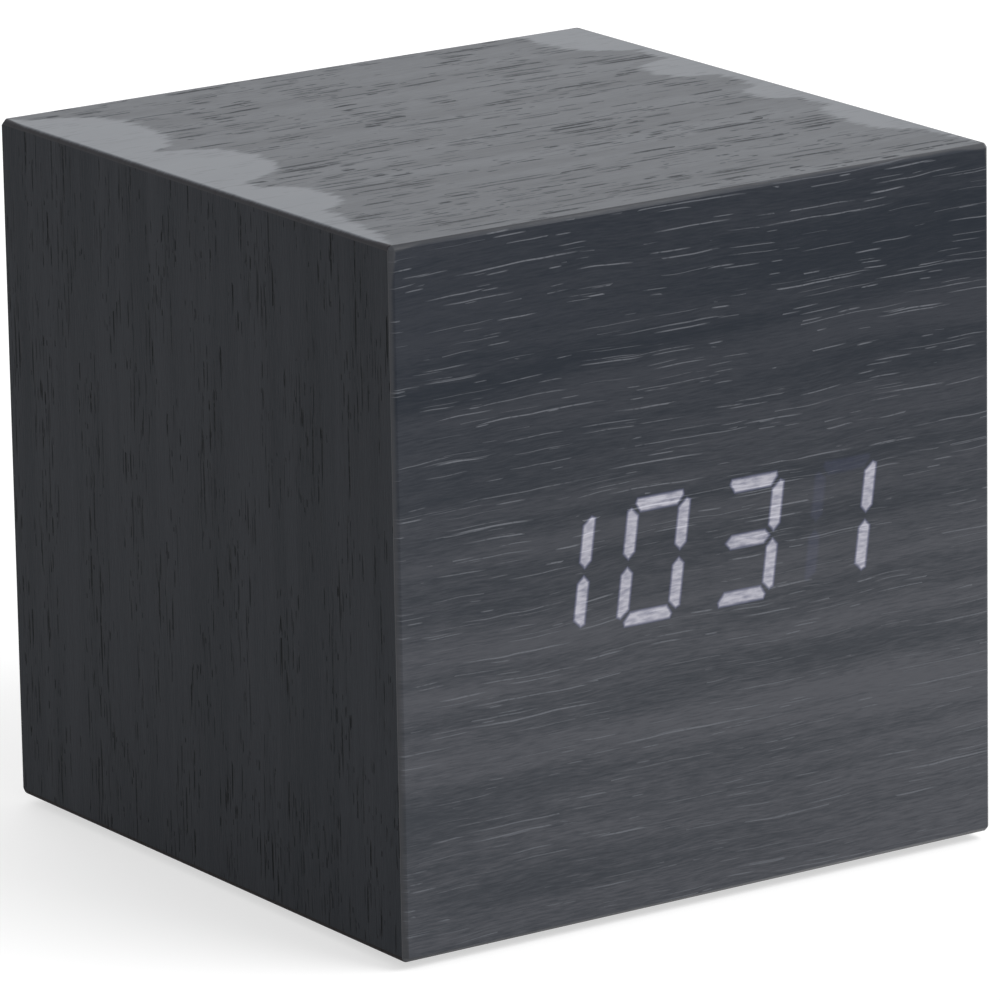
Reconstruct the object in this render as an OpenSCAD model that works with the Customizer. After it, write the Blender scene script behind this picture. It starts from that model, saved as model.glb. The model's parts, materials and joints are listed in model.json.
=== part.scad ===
// Cube alarm clock: a veneered case with a display shining through its front sheet, a control
// panel in the recessed back and a battery compartment underneath.
// Millimetres, +Z up, the front faces -Y, the origin lies on the table under the case's centre.

/* [Case] */
// Width of the case across the front
case_w = 80; // [78:1:100]
// Depth of the case from front to back
case_d = 80; // [78:1:100]
// Height of the case without its feet
case_h = 80; // [78:1:100]
// Thickness of the fibreboard core panels
panel_t = 5; // [4.5:0.5:6]
// Thickness of the veneer sheets
veneer_t = 0.6; // [0.6:0.1:1]
// Radius of the sanded outer edges
arris_r = 0.5; // [0.2:0.1:0.5]
// How far the eight corners are rubbed down
corner_rub = 0.6; // [0.4:0.1:1]
// Depth of the back panel's face inside the rear rim
back_recess = 2.5; // [2.5:0.25:5]
// Gap around the removable back panel
back_gap = 0.2; // [0.1:0.05:0.4]
// Side of the square glue blocks in the rear corners
block_side = 9; // [8:0.5:11]
// Length of the glue blocks
block_l = 12; // [10:1:16]
// Diameter of a foot
foot_d = 10; // [6:1:12]
// Height of a foot
foot_h = 1; // [0.6:0.1:2]
// Distance from the case's edges to a foot's centre
foot_inset = 8; // [7:0.5:9]

/* [Display] */
// Height of a digit
digit_h = 14.2; // [12:0.1:15]
// Width of a digit from outside to outside
digit_w = 8.4; // [7:0.1:9]
// Distance from one digit to the next
digit_pitch = 12.7; // [11.5:0.1:13]
// Width of a segment
segment_w = 1.5; // [1.2:0.1:1.7]
// Lean of the digits to the right, in degrees
digit_slant = 8; // [0:1:10]
// Depth of the display module
module_depth = 8; // [7:0.5:9]

/* [Main board] */
// Width of the main board
board_w = 62; // [60:1:65]
// Height of the main board
board_h = 44; // [42:1:50]
// Thickness of both circuit boards
board_t = 1.6; // [1:0.2:2]
// Distance from the board's edges to its screws
board_hole_inset = 3.5; // [3:0.25:4.5]
// Diameter of the board spacers
spacer_d = 5.5; // [5:0.5:6]

/* [Rear controls] */
// Height of the button row above the bottom of the case
control_h = 28; // [26:1:40]
// Distance between neighbouring buttons
button_pitch = 10; // [9.5:0.25:11]
// Diameter of a button cap
button_d = 6.4; // [5:0.2:7]
// How far a button goes in
button_travel = 0.4; // [0.2:0.1:0.5]
// How far a button stands out of the bezel
button_proud = 0.7; // [0.5:0.1:0.8]
// Thickness of the bezel's plate
bezel_t = 1.5; // [1:0.1:1.5]
// How far the bezel's plate reaches past its collar
bezel_lip = 2.4; // [1.5:0.1:3]
// Bore of the power jack
jack_bore_d = 3.7; // [3.5:0.1:4]

/* [Battery] */
// Diameter of a cell
cell_d = 10.5; // [10.1:0.1:10.7]
// Length of a cell
cell_l = 44.5; // [43.5:0.1:45]
// Length of a pressed contact spring
spring_l = 5.2; // [4.6:0.1:6]
// Wall of the battery tray
tray_wall = 2; // [1.8:0.1:2.5]
// Thickness of the battery door
door_t = 2; // [1.8:0.1:2.2]
// Gap around the battery door
door_gap = 0.2; // [0.15:0.05:0.3]
// Width of the flange beside the door, for the screws
flange_side = 6; // [5.5:0.25:6.5]

/* [Hidden] */
$fn = 48;

// Named clearances
fit_gap = 0.2;
screw_gap = 0.1;
pivot_gap = 0.06;
cut = 1;

// Levels of the case
half_w = case_w / 2;
half_d = case_d / 2;
wall = panel_t + veneer_t;
base_z = foot_h;
roof_z = foot_h + case_h;
mid_z = foot_h + case_h / 2;
core_x = half_w - veneer_t;
room_x = half_w - wall;
core_z0 = base_z + veneer_t;
core_z1 = roof_z - veneer_t;
room_z0 = base_z + wall;
room_z1 = roof_z - wall;
core_y0 = -half_d + veneer_t;
room_y0 = -half_d + wall;
back_y = half_d - back_recess;
back_core_y = back_y - veneer_t;
room_y1 = back_y - wall;
back_x = room_x - back_gap;
back_z0 = room_z0 + back_gap;
back_z1 = room_z1 - back_gap;

// Back screws
back_screw_d = 2.9;
back_screw_head = 5.6;
back_screw_short = 2;
back_screw_l = wall + block_l - back_screw_short;
back_screw_x = room_x - block_side / 2;
back_screw_z = [room_z0 + block_side / 2, room_z1 - block_side / 2];

// Display module
digits = 4;
housing_trim = 0.5;
housing_border = 2.4;
housing_w = digits * digit_pitch - housing_trim;
housing_h = digit_h + 2 * housing_border;
segment_depth = 1;
stroke_w = digit_w - segment_w;
stroke_h = (digit_h - segment_w) / 2;
tip_gap = 0.25;
middle_gap = 0.45;
colon_d = 1.6;
colon_drop = digit_h / 5;
// Segments a to g of each digit that are lit, so that the display reads 10 31
lit = [
    [0, 1, 1, 0, 0, 0, 0],
    [1, 1, 1, 1, 1, 1, 0],
    [1, 1, 1, 1, 0, 0, 1],
    [0, 1, 1, 0, 0, 0, 0]
];
pin_d = 0.6;
pin_hole_d = 0.9;
pin_pitch = 2.54;
pin_row = 7.62;
pins_per_row = 6;
pin_stub = 1.2;

// Main board
spacer_l = module_depth - panel_t;
board_y0 = room_y0 + spacer_l;
board_y1 = board_y0 + board_t;
board_hole_x = board_w / 2 - board_hole_inset;
board_hole_z = board_h / 2 - board_hole_inset;
small_screw_d = 2.2;
small_head_d = 4.2;
small_head_h = 1.6;
board_bite = 3.5;

// Parts on the main board: places are from the board's centre, seen along the board
chip_at = [0, 14.2];
chip_w = 17.9;
chip_h = 7.5;
chip_t = 2.35;
lead_pitch = 1.27;
leads_per_side = 14;
lead_w = 0.45;
lead_reach = 1.4;
lead_t = 0.6;
resistor_size = [1.25, 0.6, 2];
resistor_pitch = 3;
buzzer_at = [-21, -4];
buzzer_d = 12;
buzzer_h = 8.5;
buzzer_hole_d = 2.4;
buzzer_room = 6;
microphone_at = [21, 12];
microphone_d = 6;
microphone_h = 5;
crystal_at = [-15, 14.2];
crystal_d = 2.2;
crystal_l = 6;
capacitor_at = [[20, 0], [20, -9]];
capacitor_d = 6.3;
capacitor_h = 11;
thermistor_at = [-24, 9];
bead_d = 2.4;
bead_lead_d = 0.5;
bead_stand = 3;
battery_plug_at = [-11, -17];
battery_plug = [7.4, 7, 5.8];
battery_pole = 1.25;
ribbon_plug_at = [8, -17];
ribbon_plug = [11, 6, 5];
ribbon_w = 7.6;
ribbon_t = 0.9;
ribbon_swing = 30;

// Control panel: a row of three buttons and the jack, with a screw boss at each end
control_z = base_z + control_h;
button_x = [for (i = [0:2]) (i - 1.5) * button_pitch];
jack_x = 1.5 * button_pitch;
boss_d = 4.4;
boss_gap = 0.5;
collar_wall = 1.2;
jack_side = 7.6;
keep_reach = 1.1;
keep_d = button_d + 2 * keep_reach;
boss_x = 1.5 * button_pitch + max(keep_d, jack_side) / 2 + boss_gap + boss_d / 2;
collar_x = boss_x + boss_d / 2 + boss_gap + collar_wall;
collar_z = max(keep_d, jack_side) / 2 + boss_gap + collar_wall;
bezel_x = collar_x + bezel_lip;
bezel_z = collar_z + bezel_lip;
bezel_r = 3;
bezel_y1 = back_y + bezel_t;
button_gap = 0.25;
button_float = 0.1;
keep_t = 0.9;
keep_y1 = back_y - button_float;
keep_y0 = keep_y1 - keep_t;
cap_y1 = bezel_y1 + button_proud;
mark_h = 0.15;
mark_r = 1.4;
switch_side = 6;
switch_h = 3.2;
plunger_d = 3.5;
plunger_in = 1.2;
plunger_gap = 0.08;
control_y0 = room_y1 - board_t;
control_margin = 3;
boss_bite = 4;
jack_nose_d = 6;
jack_nose_gap = 0.3;
jack_below = 0.3;
jack_floor = 1;
jack_y0 = room_y1 + jack_floor;
jack_y1 = bezel_y1 - jack_below;
jack_pin_d = 1.3;
jack_pin_below = 1;

// Battery compartment
cells = 3;
cell_gap = 0.5;
cell_side_gap = 0.4;
cell_rest = 0.3;
contact_t = 0.4;
door_recess = 0.4;
door_lift = 0.2;
ledge_w = 1.5;
flange_edge = 4;
flange_over = 0.2;
tray_roof = 1.5;
cell_pitch = cell_d + cell_gap;
room_l = cell_l + spring_l + 2 * contact_t;
room_b = cells * cell_d + (cells - 1) * cell_gap + 2 * cell_side_gap;
cell_y = [for (i = [0:2]) (i - 1) * cell_pitch];
door_z0 = base_z + door_recess;
door_z1 = door_z0 + door_t;
ledge_z = door_z1 + door_lift;
cell_z = door_z1 + cell_rest + cell_d / 2;
ceiling_z = cell_z + cell_d / 2 + cell_rest;
tray_z1 = ceiling_z + tray_roof;
door_x = room_l / 2 + ledge_w;
door_y = room_b / 2 + ledge_w;
pocket_x = door_x + door_gap;
pocket_y = door_y + door_gap;
flange_x = pocket_x + flange_side;
flange_y = pocket_y + flange_edge;
flange_z1 = ledge_z + flange_over;
tray_x = room_l / 2 + tray_wall;
tray_y = room_b / 2 + tray_wall;
hinge_y = door_y - door_t / 2;
hinge_z = door_z0 + door_t / 2;
trunnion_d = 1.5;
trunnion_l = 2.2;
trunnion_end = 0.3;
latch_w = 10;
latch_slit = 1;
latch_l = 8;
latch_leg_t = 1;
latch_leg_h = 3;
latch_gap = 0.4;
scoop_r = 6;
scoop_reach = 2.5;
scoop_depth = 1.6;
tray_screw_x = pocket_x + flange_side / 2;
tray_screw_d = 2.2;
tray_screw_head = 4;
tray_screw_l = 5;
plate_side = 8;
tag_w = 2.5;
tag_proud = 3.2;
tag_gap = 0.15;
nub_d = 3.8;
nub_l = 1;
cell_chamfer = 0.4;
spring_wire = 0.7;
spring_r0 = 3.2;
spring_r1 = 2.2;
spring_turns = 3;
spring_steps = 8;
lead_d = 1.4;
lead_rings = 20;
lead_swing = 14;
ribbon_steps = 36;

// Block between two corners
module block(a, b) {
    translate(a) cube(b - a);
}

// Flat shape in X and Z drawn out from y0 to y1
module along_y(y0, y1) {
    translate([0, y1, 0]) rotate([90, 0, 0]) linear_extrude(y1 - y0) children();
}

// Flat shape in Y and Z drawn out from x0 to x1
module along_x(x0, x1) {
    translate([x0, 0, 0]) rotate([90, 0, 90]) linear_extrude(x1 - x0) children();
}

// Round bar along Y
module bar_y(d, y0, y1) {
    translate([0, y0, 0]) rotate([-90, 0, 0]) cylinder(d = d, h = y1 - y0);
}

// Rectangle with round corners, given by half sizes
module round_plate(x, y, r) {
    square([2 * x - 2 * r, 2 * y], center = true);
    square([2 * x, 2 * y - 2 * r], center = true);
    for (i = [-1, 1], j = [-1, 1]) translate([i * (x - r), j * (y - r)]) circle(r);
}

// Countersunk screw pointing down from its head's top at the origin
module sunk_screw(d, head, l) {
    cone = (head - d) / 2;
    difference() {
        union() {
            translate([0, 0, -cone]) cylinder(d1 = d, d2 = head, h = cone);
            translate([0, 0, -l]) cylinder(d = d, h = l);
        }
        cross_recess(head * 0.55, cone * 0.7);
    }
}

// Room for a countersunk screw, wider than the screw by the screw gap
module sunk_hole(d, head, l) {
    cone = (head - d) / 2;
    translate([0, 0, -cone]) cylinder(d1 = d + 2 * screw_gap, d2 = head + 2 * screw_gap, h = cone);
    translate([0, 0, -l]) cylinder(d = d + 2 * screw_gap, h = l);
    cylinder(d = head + 2 * screw_gap, h = cut);
}

// Pan-head screw pointing down from the underside of its head at the origin
module pan_screw(l) {
    difference() {
        union() {
            cylinder(d = small_head_d, h = small_head_h);
            translate([0, 0, -l]) cylinder(d = small_screw_d, h = l + small_head_h / 4);
        }
        translate([0, 0, small_head_h]) cross_recess(small_head_d * 0.6, small_head_h * 0.5);
    }
}

// Cross-shaped recess going down from the origin
module cross_recess(size, depth) {
    for (a = [0, 90]) rotate([0, 0, a])
        translate([-size / 2, -size / 8, -depth]) cube([size, size / 4, depth + cut]);
}

// Outer block of the case with its sanded edges and rubbed corners
module case_block() {
    intersection() {
        translate([0, 0, mid_z]) sphere(norm([half_w, half_d, case_h / 2]) - corner_rub);
        along_x(-half_w, half_w) translate([0, mid_z]) round_plate(half_d, case_h / 2, arris_r);
        along_y(-half_d, half_d) translate([0, mid_z]) round_plate(half_w, case_h / 2, arris_r);
        translate([0, 0, base_z]) linear_extrude(case_h) round_plate(half_w, half_d, arris_r);
    }
}

// One sheet of the case's skin
module sheet(a, b) {
    intersection() {
        case_block();
        block(a, b);
    }
}

module at_back_screws() {
    for (i = [-1, 1], z = back_screw_z)
        translate([i * back_screw_x, back_y, z]) rotate([-90, 0, 0]) children();
}

module at_feet() {
    for (i = [-1, 1], j = [-1, 1])
        translate([i * (half_w - foot_inset), j * (half_d - foot_inset), 0]) children();
}

// Place on the rear of the main board, with Z of the child pointing backwards
module on_board(at) {
    translate([at[0], board_y1, mid_z + at[1]]) rotate([-90, 0, 0]) children();
}

module at_board_holes() {
    for (i = [-1, 1], j = [-1, 1]) on_board([i * board_hole_x, j * board_hole_z]) children();
}

module at_bosses() {
    for (i = [-1, 1]) translate([i * boss_x, 0, control_z]) children();
}

module at_tray_screws() {
    for (i = [-1, 1]) translate([i * tray_screw_x, 0, base_z]) mirror([0, 0, 1]) children();
}

// Case

module front_veneer() {
    color("#3a3b3f") sheet([-half_w, -half_d, base_z], [half_w, core_y0, roof_z]);
}

module top_veneer() {
    color("#44454a") sheet([-half_w, core_y0, core_z1], [half_w, half_d, roof_z]);
}

module left_veneer() {
    color("#303135") sheet([-half_w, core_y0, core_z0], [-core_x, half_d, core_z1]);
}

module right_veneer() {
    color("#303135") sheet([core_x, core_y0, core_z0], [half_w, half_d, core_z1]);
}

module bottom_veneer() {
    color("#303135") difference() {
        sheet([-half_w, core_y0, base_z], [half_w, half_d, core_z0]);
        flange_room();
    }
}

module back_veneer() {
    color("#35363a") difference() {
        block([-back_x, back_core_y, back_z0], [back_x, back_y, back_z1]);
        collar_room();
        at_back_screws() sunk_hole(back_screw_d, back_screw_head, wall + cut);
    }
}

module front_panel() {
    window_x = housing_w / 2 + fit_gap;
    window_z = housing_h / 2 + fit_gap;
    color("#8a6a4a") difference() {
        block([-room_x, core_y0, room_z0], [room_x, room_y0, room_z1]);
        block([-window_x, core_y0 - cut, mid_z - window_z], [window_x, room_y0 + cut, mid_z + window_z]);
        at_board_holes() translate([0, 0, -board_t - spacer_l - board_bite - fit_gap])
            cylinder(d = small_screw_d + 2 * screw_gap, h = board_bite + fit_gap + cut);
    }
}

module top_panel() {
    color("#8a6a4a") along_y(core_y0, half_d)
        polygon([[-core_x, core_z1], [core_x, core_z1], [room_x, room_z1], [-room_x, room_z1]]);
}

module left_panel() {
    color("#836444") along_y(core_y0, half_d)
        polygon([[-core_x, core_z0], [-core_x, core_z1], [-room_x, room_z1], [-room_x, room_z0]]);
}

module right_panel() {
    color("#836444") along_y(core_y0, half_d)
        polygon([[core_x, core_z0], [core_x, core_z1], [room_x, room_z1], [room_x, room_z0]]);
}

// Rebate in the bottom for the tray's flange
module flange_room() {
    x = flange_x + fit_gap;
    y = flange_y + fit_gap;
    block([-x, -y, base_z - cut], [x, y, flange_z1]);
}

// Room inside the case for the tray itself
module tray_room() {
    x = tray_x + fit_gap;
    y = tray_y + fit_gap;
    block([-x, -y, base_z - cut], [x, y, tray_z1 + fit_gap]);
}

module bottom_panel() {
    color("#8a6a4a") difference() {
        along_y(core_y0, half_d)
            polygon([[-core_x, core_z0], [core_x, core_z0], [room_x, room_z0], [-room_x, room_z0]]);
        flange_room();
        tray_room();
        at_tray_screws() translate([0, 0, -wall - cut])
            cylinder(d = tray_screw_d + 2 * screw_gap, h = wall + 2 * cut);
    }
}

// Opening in the back for the bezel's collar
module collar_room() {
    x = collar_x + fit_gap;
    z = collar_z + fit_gap;
    block([-x, room_y1 - cut, control_z - z], [x, back_y + cut, control_z + z]);
}

module back_panel() {
    color("#8a6a4a") difference() {
        block([-back_x, room_y1, back_z0], [back_x, back_core_y, back_z1]);
        collar_room();
        at_back_screws() sunk_hole(back_screw_d, back_screw_head, wall + cut);
    }
}

// Glue blocks, which make way for the tray where the case is too shallow for both
module corner_blocks() {
    color("#c9a878") difference() {
        for (i = [0, 1], z = [room_z0, room_z1 - block_side]) mirror([i, 0, 0])
            translate([room_x - block_side, room_y1 - block_l, z]) cube([block_side, block_l, block_side]);
        at_back_screws() translate([0, 0, -wall - block_l - cut])
            cylinder(d = back_screw_d + 2 * screw_gap, h = wall + block_l + 2 * cut);
        tray_room();
    }
}

module back_screws() {
    color("#222222") at_back_screws() sunk_screw(back_screw_d, back_screw_head, back_screw_l);
}

module feet() {
    rim = 0.2;
    color("#161616") at_feet() rotate_extrude()
        polygon([[0, 0], [foot_d / 2 - rim, 0], [foot_d / 2, rim], [foot_d / 2, foot_h], [0, foot_h]]);
}

// Display

// Corner point of a segment, leaned over with the digit
function lean(p) = [p[0] + p[1] * tan(digit_slant), p[1]];

// Outlines of the upper, middle and right-hand segments about the digit's centre
half_s = segment_w / 2;
bar_top = [
    [-stroke_w / 2 + tip_gap + half_s / 4, stroke_h + half_s],
    [stroke_w / 2 - tip_gap - half_s / 4, stroke_h + half_s],
    [stroke_w / 2 - tip_gap, stroke_h + half_s / 3],
    [stroke_w / 2 - tip_gap - half_s, stroke_h - half_s],
    [-stroke_w / 2 + tip_gap + half_s, stroke_h - half_s],
    [-stroke_w / 2 + tip_gap, stroke_h + half_s / 3]
];
bar_middle = [
    [-stroke_w / 2 + middle_gap, 0],
    [-stroke_w / 2 + middle_gap + half_s, half_s],
    [stroke_w / 2 - middle_gap - half_s, half_s],
    [stroke_w / 2 - middle_gap, 0],
    [stroke_w / 2 - middle_gap - half_s, -half_s],
    [-stroke_w / 2 + middle_gap + half_s, -half_s]
];
post_right = [
    [stroke_w / 2 - half_s, stroke_h - half_s - tip_gap * 1.5],
    [stroke_w / 2 + half_s / 3, stroke_h - tip_gap],
    [stroke_w / 2 + half_s, stroke_h - tip_gap * 2],
    [stroke_w / 2 + half_s, middle_gap + half_s],
    [stroke_w / 2, middle_gap],
    [stroke_w / 2 - half_s, middle_gap + half_s]
];

// Outline of segment a to g, numbered 0 to 6, turned the right way round and leaned over
function flip(points, sx, sy) = [for (p = points) lean([p[0] * sx, p[1] * sy])];
function outline(s) =
    s == 0 ? flip(bar_top, 1, 1) :
    s == 1 ? flip(post_right, 1, 1) :
    s == 2 ? flip(post_right, 1, -1) :
    s == 3 ? flip(bar_top, 1, -1) :
    s == 4 ? flip(post_right, -1, -1) :
    s == 5 ? flip(post_right, -1, 1) :
    flip(bar_middle, 1, 1);

// Solid segments whose lit value is the one asked for
module segments(state, depth) {
    for (d = [0:digits - 1], s = [0:6]) if (lit[d][s] == state)
        translate([(d - (digits - 1) / 2) * digit_pitch, 0, mid_z])
            along_y(core_y0, core_y0 + depth) polygon(outline(s));
}

module colon_dots(depth) {
    for (j = [-1, 1]) translate([lean([0, j * colon_drop])[0], 0, mid_z + j * colon_drop])
        along_y(core_y0, core_y0 + depth) circle(d = colon_d, $fn = 12);
}

module display_housing() {
    color("#202124") difference() {
        block([-housing_w / 2, core_y0, mid_z - housing_h / 2],
            [housing_w / 2, board_y0, mid_z + housing_h / 2]);
        segments(1, segment_depth);
        segments(0, segment_depth);
        colon_dots(segment_depth);
    }
}

module lit_segments() {
    color("#f4f4ff") segments(1, segment_depth);
}

module dark_segments() {
    color("#b8b8c4") {
        segments(0, segment_depth);
        colon_dots(segment_depth);
    }
}

module at_pins() {
    for (i = [0:pins_per_row - 1], j = [-1, 1])
        translate([(i - (pins_per_row - 1) / 2) * pin_pitch, 0, mid_z + j * pin_row]) children();
}

module display_pins() {
    color("#c0c0c0") at_pins() bar_y(pin_d, board_y0, board_y1 + pin_stub);
}

// Main board and its parts

module main_board() {
    color("#1f5b3a") difference() {
        block([-board_w / 2, board_y0, mid_z - board_h / 2], [board_w / 2, board_y1, mid_z + board_h / 2]);
        at_pins() bar_y(pin_hole_d, board_y0 - cut, board_y1 + cut);
        at_board_holes() translate([0, 0, -board_t - cut])
            cylinder(d = small_screw_d + 2 * screw_gap, h = board_t + 2 * cut);
    }
}

module board_spacers() {
    color("#e8e6df") at_board_holes() translate([0, 0, -board_t - spacer_l]) difference() {
        cylinder(d = spacer_d, h = spacer_l);
        translate([0, 0, -cut]) cylinder(d = small_screw_d + 2 * screw_gap, h = spacer_l + 2 * cut);
    }
}

module board_screws() {
    color("#b5b5b5") at_board_holes() pan_screw(board_t + spacer_l + board_bite);
}

module controller_chip() {
    color("#1b1b1d") on_board(chip_at) {
        translate([-chip_w / 2, -chip_h / 2, 0]) cube([chip_w, chip_h, chip_t]);
        for (i = [0:leads_per_side - 1], j = [0, 1]) mirror([0, j, 0])
            translate([(i - (leads_per_side - 1) / 2) * lead_pitch - lead_w / 2, chip_h / 2, 0])
                cube([lead_w, lead_reach, lead_t]);
    }
}

module segment_resistors() {
    color("#26262a") for (i = [0:7]) on_board([(i - 3.5) * resistor_pitch, 0])
        translate([-resistor_size[0] / 2, -resistor_size[2] / 2, 0])
            cube([resistor_size[0], resistor_size[2], resistor_size[1]]);
}

module buzzer() {
    color("#141416") on_board(buzzer_at) difference() {
        cylinder(d = buzzer_d, h = buzzer_h);
        translate([0, 0, buzzer_h - buzzer_room]) cylinder(d = buzzer_hole_d, h = buzzer_room + cut);
    }
}

module microphone() {
    rim = 0.8;
    sink = 0.6;
    color("#c8c8c8") on_board(microphone_at) difference() {
        cylinder(d = microphone_d, h = microphone_h);
        translate([0, 0, microphone_h - sink]) cylinder(d = microphone_d - 2 * rim, h = sink + cut);
    }
}

module clock_crystal() {
    color("#cfcfcf") on_board(crystal_at) translate([-crystal_l / 2, 0, crystal_d / 2])
        rotate([0, 90, 0]) cylinder(d = crystal_d, h = crystal_l);
}

module capacitors() {
    groove = 0.5;
    groove_z = 1.5;
    color("#23306b") for (at = capacitor_at) on_board(at) rotate_extrude() polygon([
        [0, 0], [capacitor_d / 2, 0],
        [capacitor_d / 2, groove_z], [capacitor_d / 2 - groove, groove_z + groove],
        [capacitor_d / 2, groove_z + 2 * groove], [capacitor_d / 2, capacitor_h], [0, capacitor_h]
    ]);
}

module thermistor() {
    color("#3a2f28") on_board(thermistor_at) {
        translate([0, 0, bead_stand]) sphere(d = bead_d);
        for (i = [-1, 1]) translate([i * bead_d / 4, 0, 0]) cylinder(d = bead_lead_d, h = bead_stand);
    }
}

// Plug shell on the main board: width, height off the board, depth along Z
module board_plug(at, size) {
    on_board(at) translate([-size[0] / 2, -size[2] / 2, 0]) cube([size[0], size[2], size[1]]);
}

module battery_connector() {
    color("#ece8dc") board_plug(battery_plug_at, battery_plug);
}

module main_ribbon_connector() {
    color("#ece8dc") board_plug(ribbon_plug_at, ribbon_plug);
}

module rear_ribbon_connector() {
    x = ribbon_plug_at[0];
    color("#ece8dc") block(
        [x - ribbon_plug[0] / 2, control_y0 - ribbon_plug[1], control_z - ribbon_plug[2] / 2],
        [x + ribbon_plug[0] / 2, control_y0, control_z + ribbon_plug[2] / 2]);
}

// Point on a curve led by four points, and its direction
function curve(p, t) = pow(1 - t, 3) * p[0] + 3 * t * pow(1 - t, 2) * p[1]
    + 3 * t * t * (1 - t) * p[2] + pow(t, 3) * p[3];
function heading(p, t) = unit(pow(1 - t, 2) * (p[1] - p[0]) + 2 * t * (1 - t) * (p[2] - p[1])
    + t * t * (p[3] - p[2]));
function unit(v) = v / norm(v);

// Flat cable between the two ribbon connectors, led by four points in Y and Z
ribbon_path = [
    [board_y1 + ribbon_plug[1], mid_z + ribbon_plug_at[1]],
    [board_y1 + ribbon_plug[1] + ribbon_swing, mid_z + ribbon_plug_at[1]],
    [control_y0 - ribbon_plug[1] - ribbon_swing, control_z],
    [control_y0 - ribbon_plug[1], control_z]
];

// Point beside the cable's middle line
function beside(t, off) = let (h = heading(ribbon_path, t)) curve(ribbon_path, t) + off * [-h[1], h[0]];

module ribbon_cable() {
    color("#8f9399") along_x(ribbon_plug_at[0] - ribbon_w / 2, ribbon_plug_at[0] + ribbon_w / 2)
        polygon(concat(
            [for (i = [0:ribbon_steps]) beside(i / ribbon_steps, ribbon_t / 2)],
            [for (i = [ribbon_steps:-1:0]) beside(i / ribbon_steps, -ribbon_t / 2)]
        ));
}

// Round tube through points; each has its heading and a side direction that turns its ring
module tube(points, along, sides_at, d, sides) {
    n = len(points);
    rings = [for (i = [0:n - 1])
        let (u = unit(sides_at[i] - (sides_at[i] * along[i]) * along[i]), v = cross(along[i], u))
        for (k = [0:sides - 1]) points[i] + d / 2 * (cos(360 * k / sides) * u + sin(360 * k / sides) * v)];
    skin = [for (i = [0:n - 2], k = [0:sides - 1])
        let (a = i * sides + k, b = i * sides + (k + 1) % sides)
        each [[a, a + sides, b + sides], [a, b + sides, b]]];
    caps = [[for (k = [0:sides - 1]) k], [for (k = [sides - 1:-1:0]) (n - 1) * sides + k]];
    polyhedron(rings, concat(skin, caps));
}

// Battery lead from a solder tag to the battery connector
lead_z = tray_z1 + tag_proud / 2;
lead_end_y = board_y1 + battery_plug[1];
lead_end_z = mid_z + battery_plug_at[1];
function lead_path(i) = [
    [i * (room_l / 2 - contact_t), i * cell_pitch, lead_z],
    [i * (room_l / 2 - contact_t - lead_swing), i * cell_pitch, lead_z],
    [battery_plug_at[0] + i * battery_pole, lead_end_y + lead_swing, lead_end_z],
    [battery_plug_at[0] + i * battery_pole, lead_end_y, lead_end_z]
];

module battery_lead(i) {
    path = lead_path(i);
    steps = [for (k = [0:lead_rings]) k / lead_rings];
    tube([for (t = steps) curve(path, t)], [for (t = steps) heading(path, t)],
        [for (t = steps) [0, 0, 1]], lead_d, 8);
}

module battery_lead_negative() {
    color("#111111") battery_lead(-1);
}

module battery_lead_positive() {
    color("#b02a24") battery_lead(1);
}

// Rear controls

module control_bezel() {
    color("#1c1c1e") difference() {
        union() {
            translate([0, 0, control_z]) along_y(back_y, bezel_y1) round_plate(bezel_x, bezel_z, bezel_r);
            block([-collar_x, room_y1, control_z - collar_z],
                [collar_x, back_y + bezel_t / 2, control_z + collar_z]);
        }
        difference() {
            block([-collar_x + collar_wall, room_y1 - cut, control_z - collar_z + collar_wall],
                [collar_x - collar_wall, back_y, control_z + collar_z - collar_wall]);
            at_bosses() bar_y(boss_d, room_y1, back_y + cut);
        }
        for (x = button_x) translate([x, 0, control_z])
            bar_y(button_d + 2 * button_gap, room_y1, bezel_y1 + cut);
        translate([jack_x, 0, control_z]) bar_y(jack_nose_d + 2 * jack_nose_gap, room_y1, bezel_y1 + cut);
        at_bosses() bar_y(small_screw_d + 2 * screw_gap, room_y1 - cut, room_y1 + boss_bite + fit_gap);
    }
}

module control_board() {
    x = collar_x + control_margin;
    z = collar_z + control_margin;
    color("#1f5b3a") difference() {
        block([-x, control_y0, control_z - z], [x, room_y1, control_z + z]);
        at_bosses() bar_y(small_screw_d + 2 * screw_gap, control_y0 - cut, room_y1 + cut);
    }
}

module control_screws() {
    color("#b5b5b5") at_bosses() translate([0, control_y0, 0]) rotate([90, 0, 0])
        pan_screw(board_t + boss_bite);
}

module switch_bodies() {
    well = plunger_in + button_travel + fit_gap;
    color("#2a2a2c") for (x = button_x) translate([x, room_y1, control_z]) difference() {
        block([-switch_side / 2, 0, -switch_side / 2], [switch_side / 2, switch_h, switch_side / 2]);
        bar_y(plunger_d + 2 * plunger_gap, switch_h - well, switch_h + cut);
    }
}

// Button cap with its captive flange and a raised mark
module button(i) {
    color("#2e2e31") translate([button_x[i], 0, control_z]) {
        bar_y(keep_d, keep_y0, keep_y1);
        bar_y(button_d, keep_y0, cap_y1);
        along_y(cap_y1 - mark_h, cap_y1 + mark_h) children();
    }
}

module plunger(i) {
    color("#d8d4c8") translate([button_x[i], 0, control_z])
        bar_y(plunger_d, room_y1 + switch_h - plunger_in, keep_y0);
}

module set_button() {
    button(2) circle(mark_r * 0.7);
}

module up_button() {
    button(1) rotate(90) circle(mark_r, $fn = 3);
}

module down_button() {
    button(0) rotate(-90) circle(mark_r, $fn = 3);
}

module set_plunger() {
    plunger(2);
}

module up_plunger() {
    plunger(1);
}

module down_plunger() {
    plunger(0);
}

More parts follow.
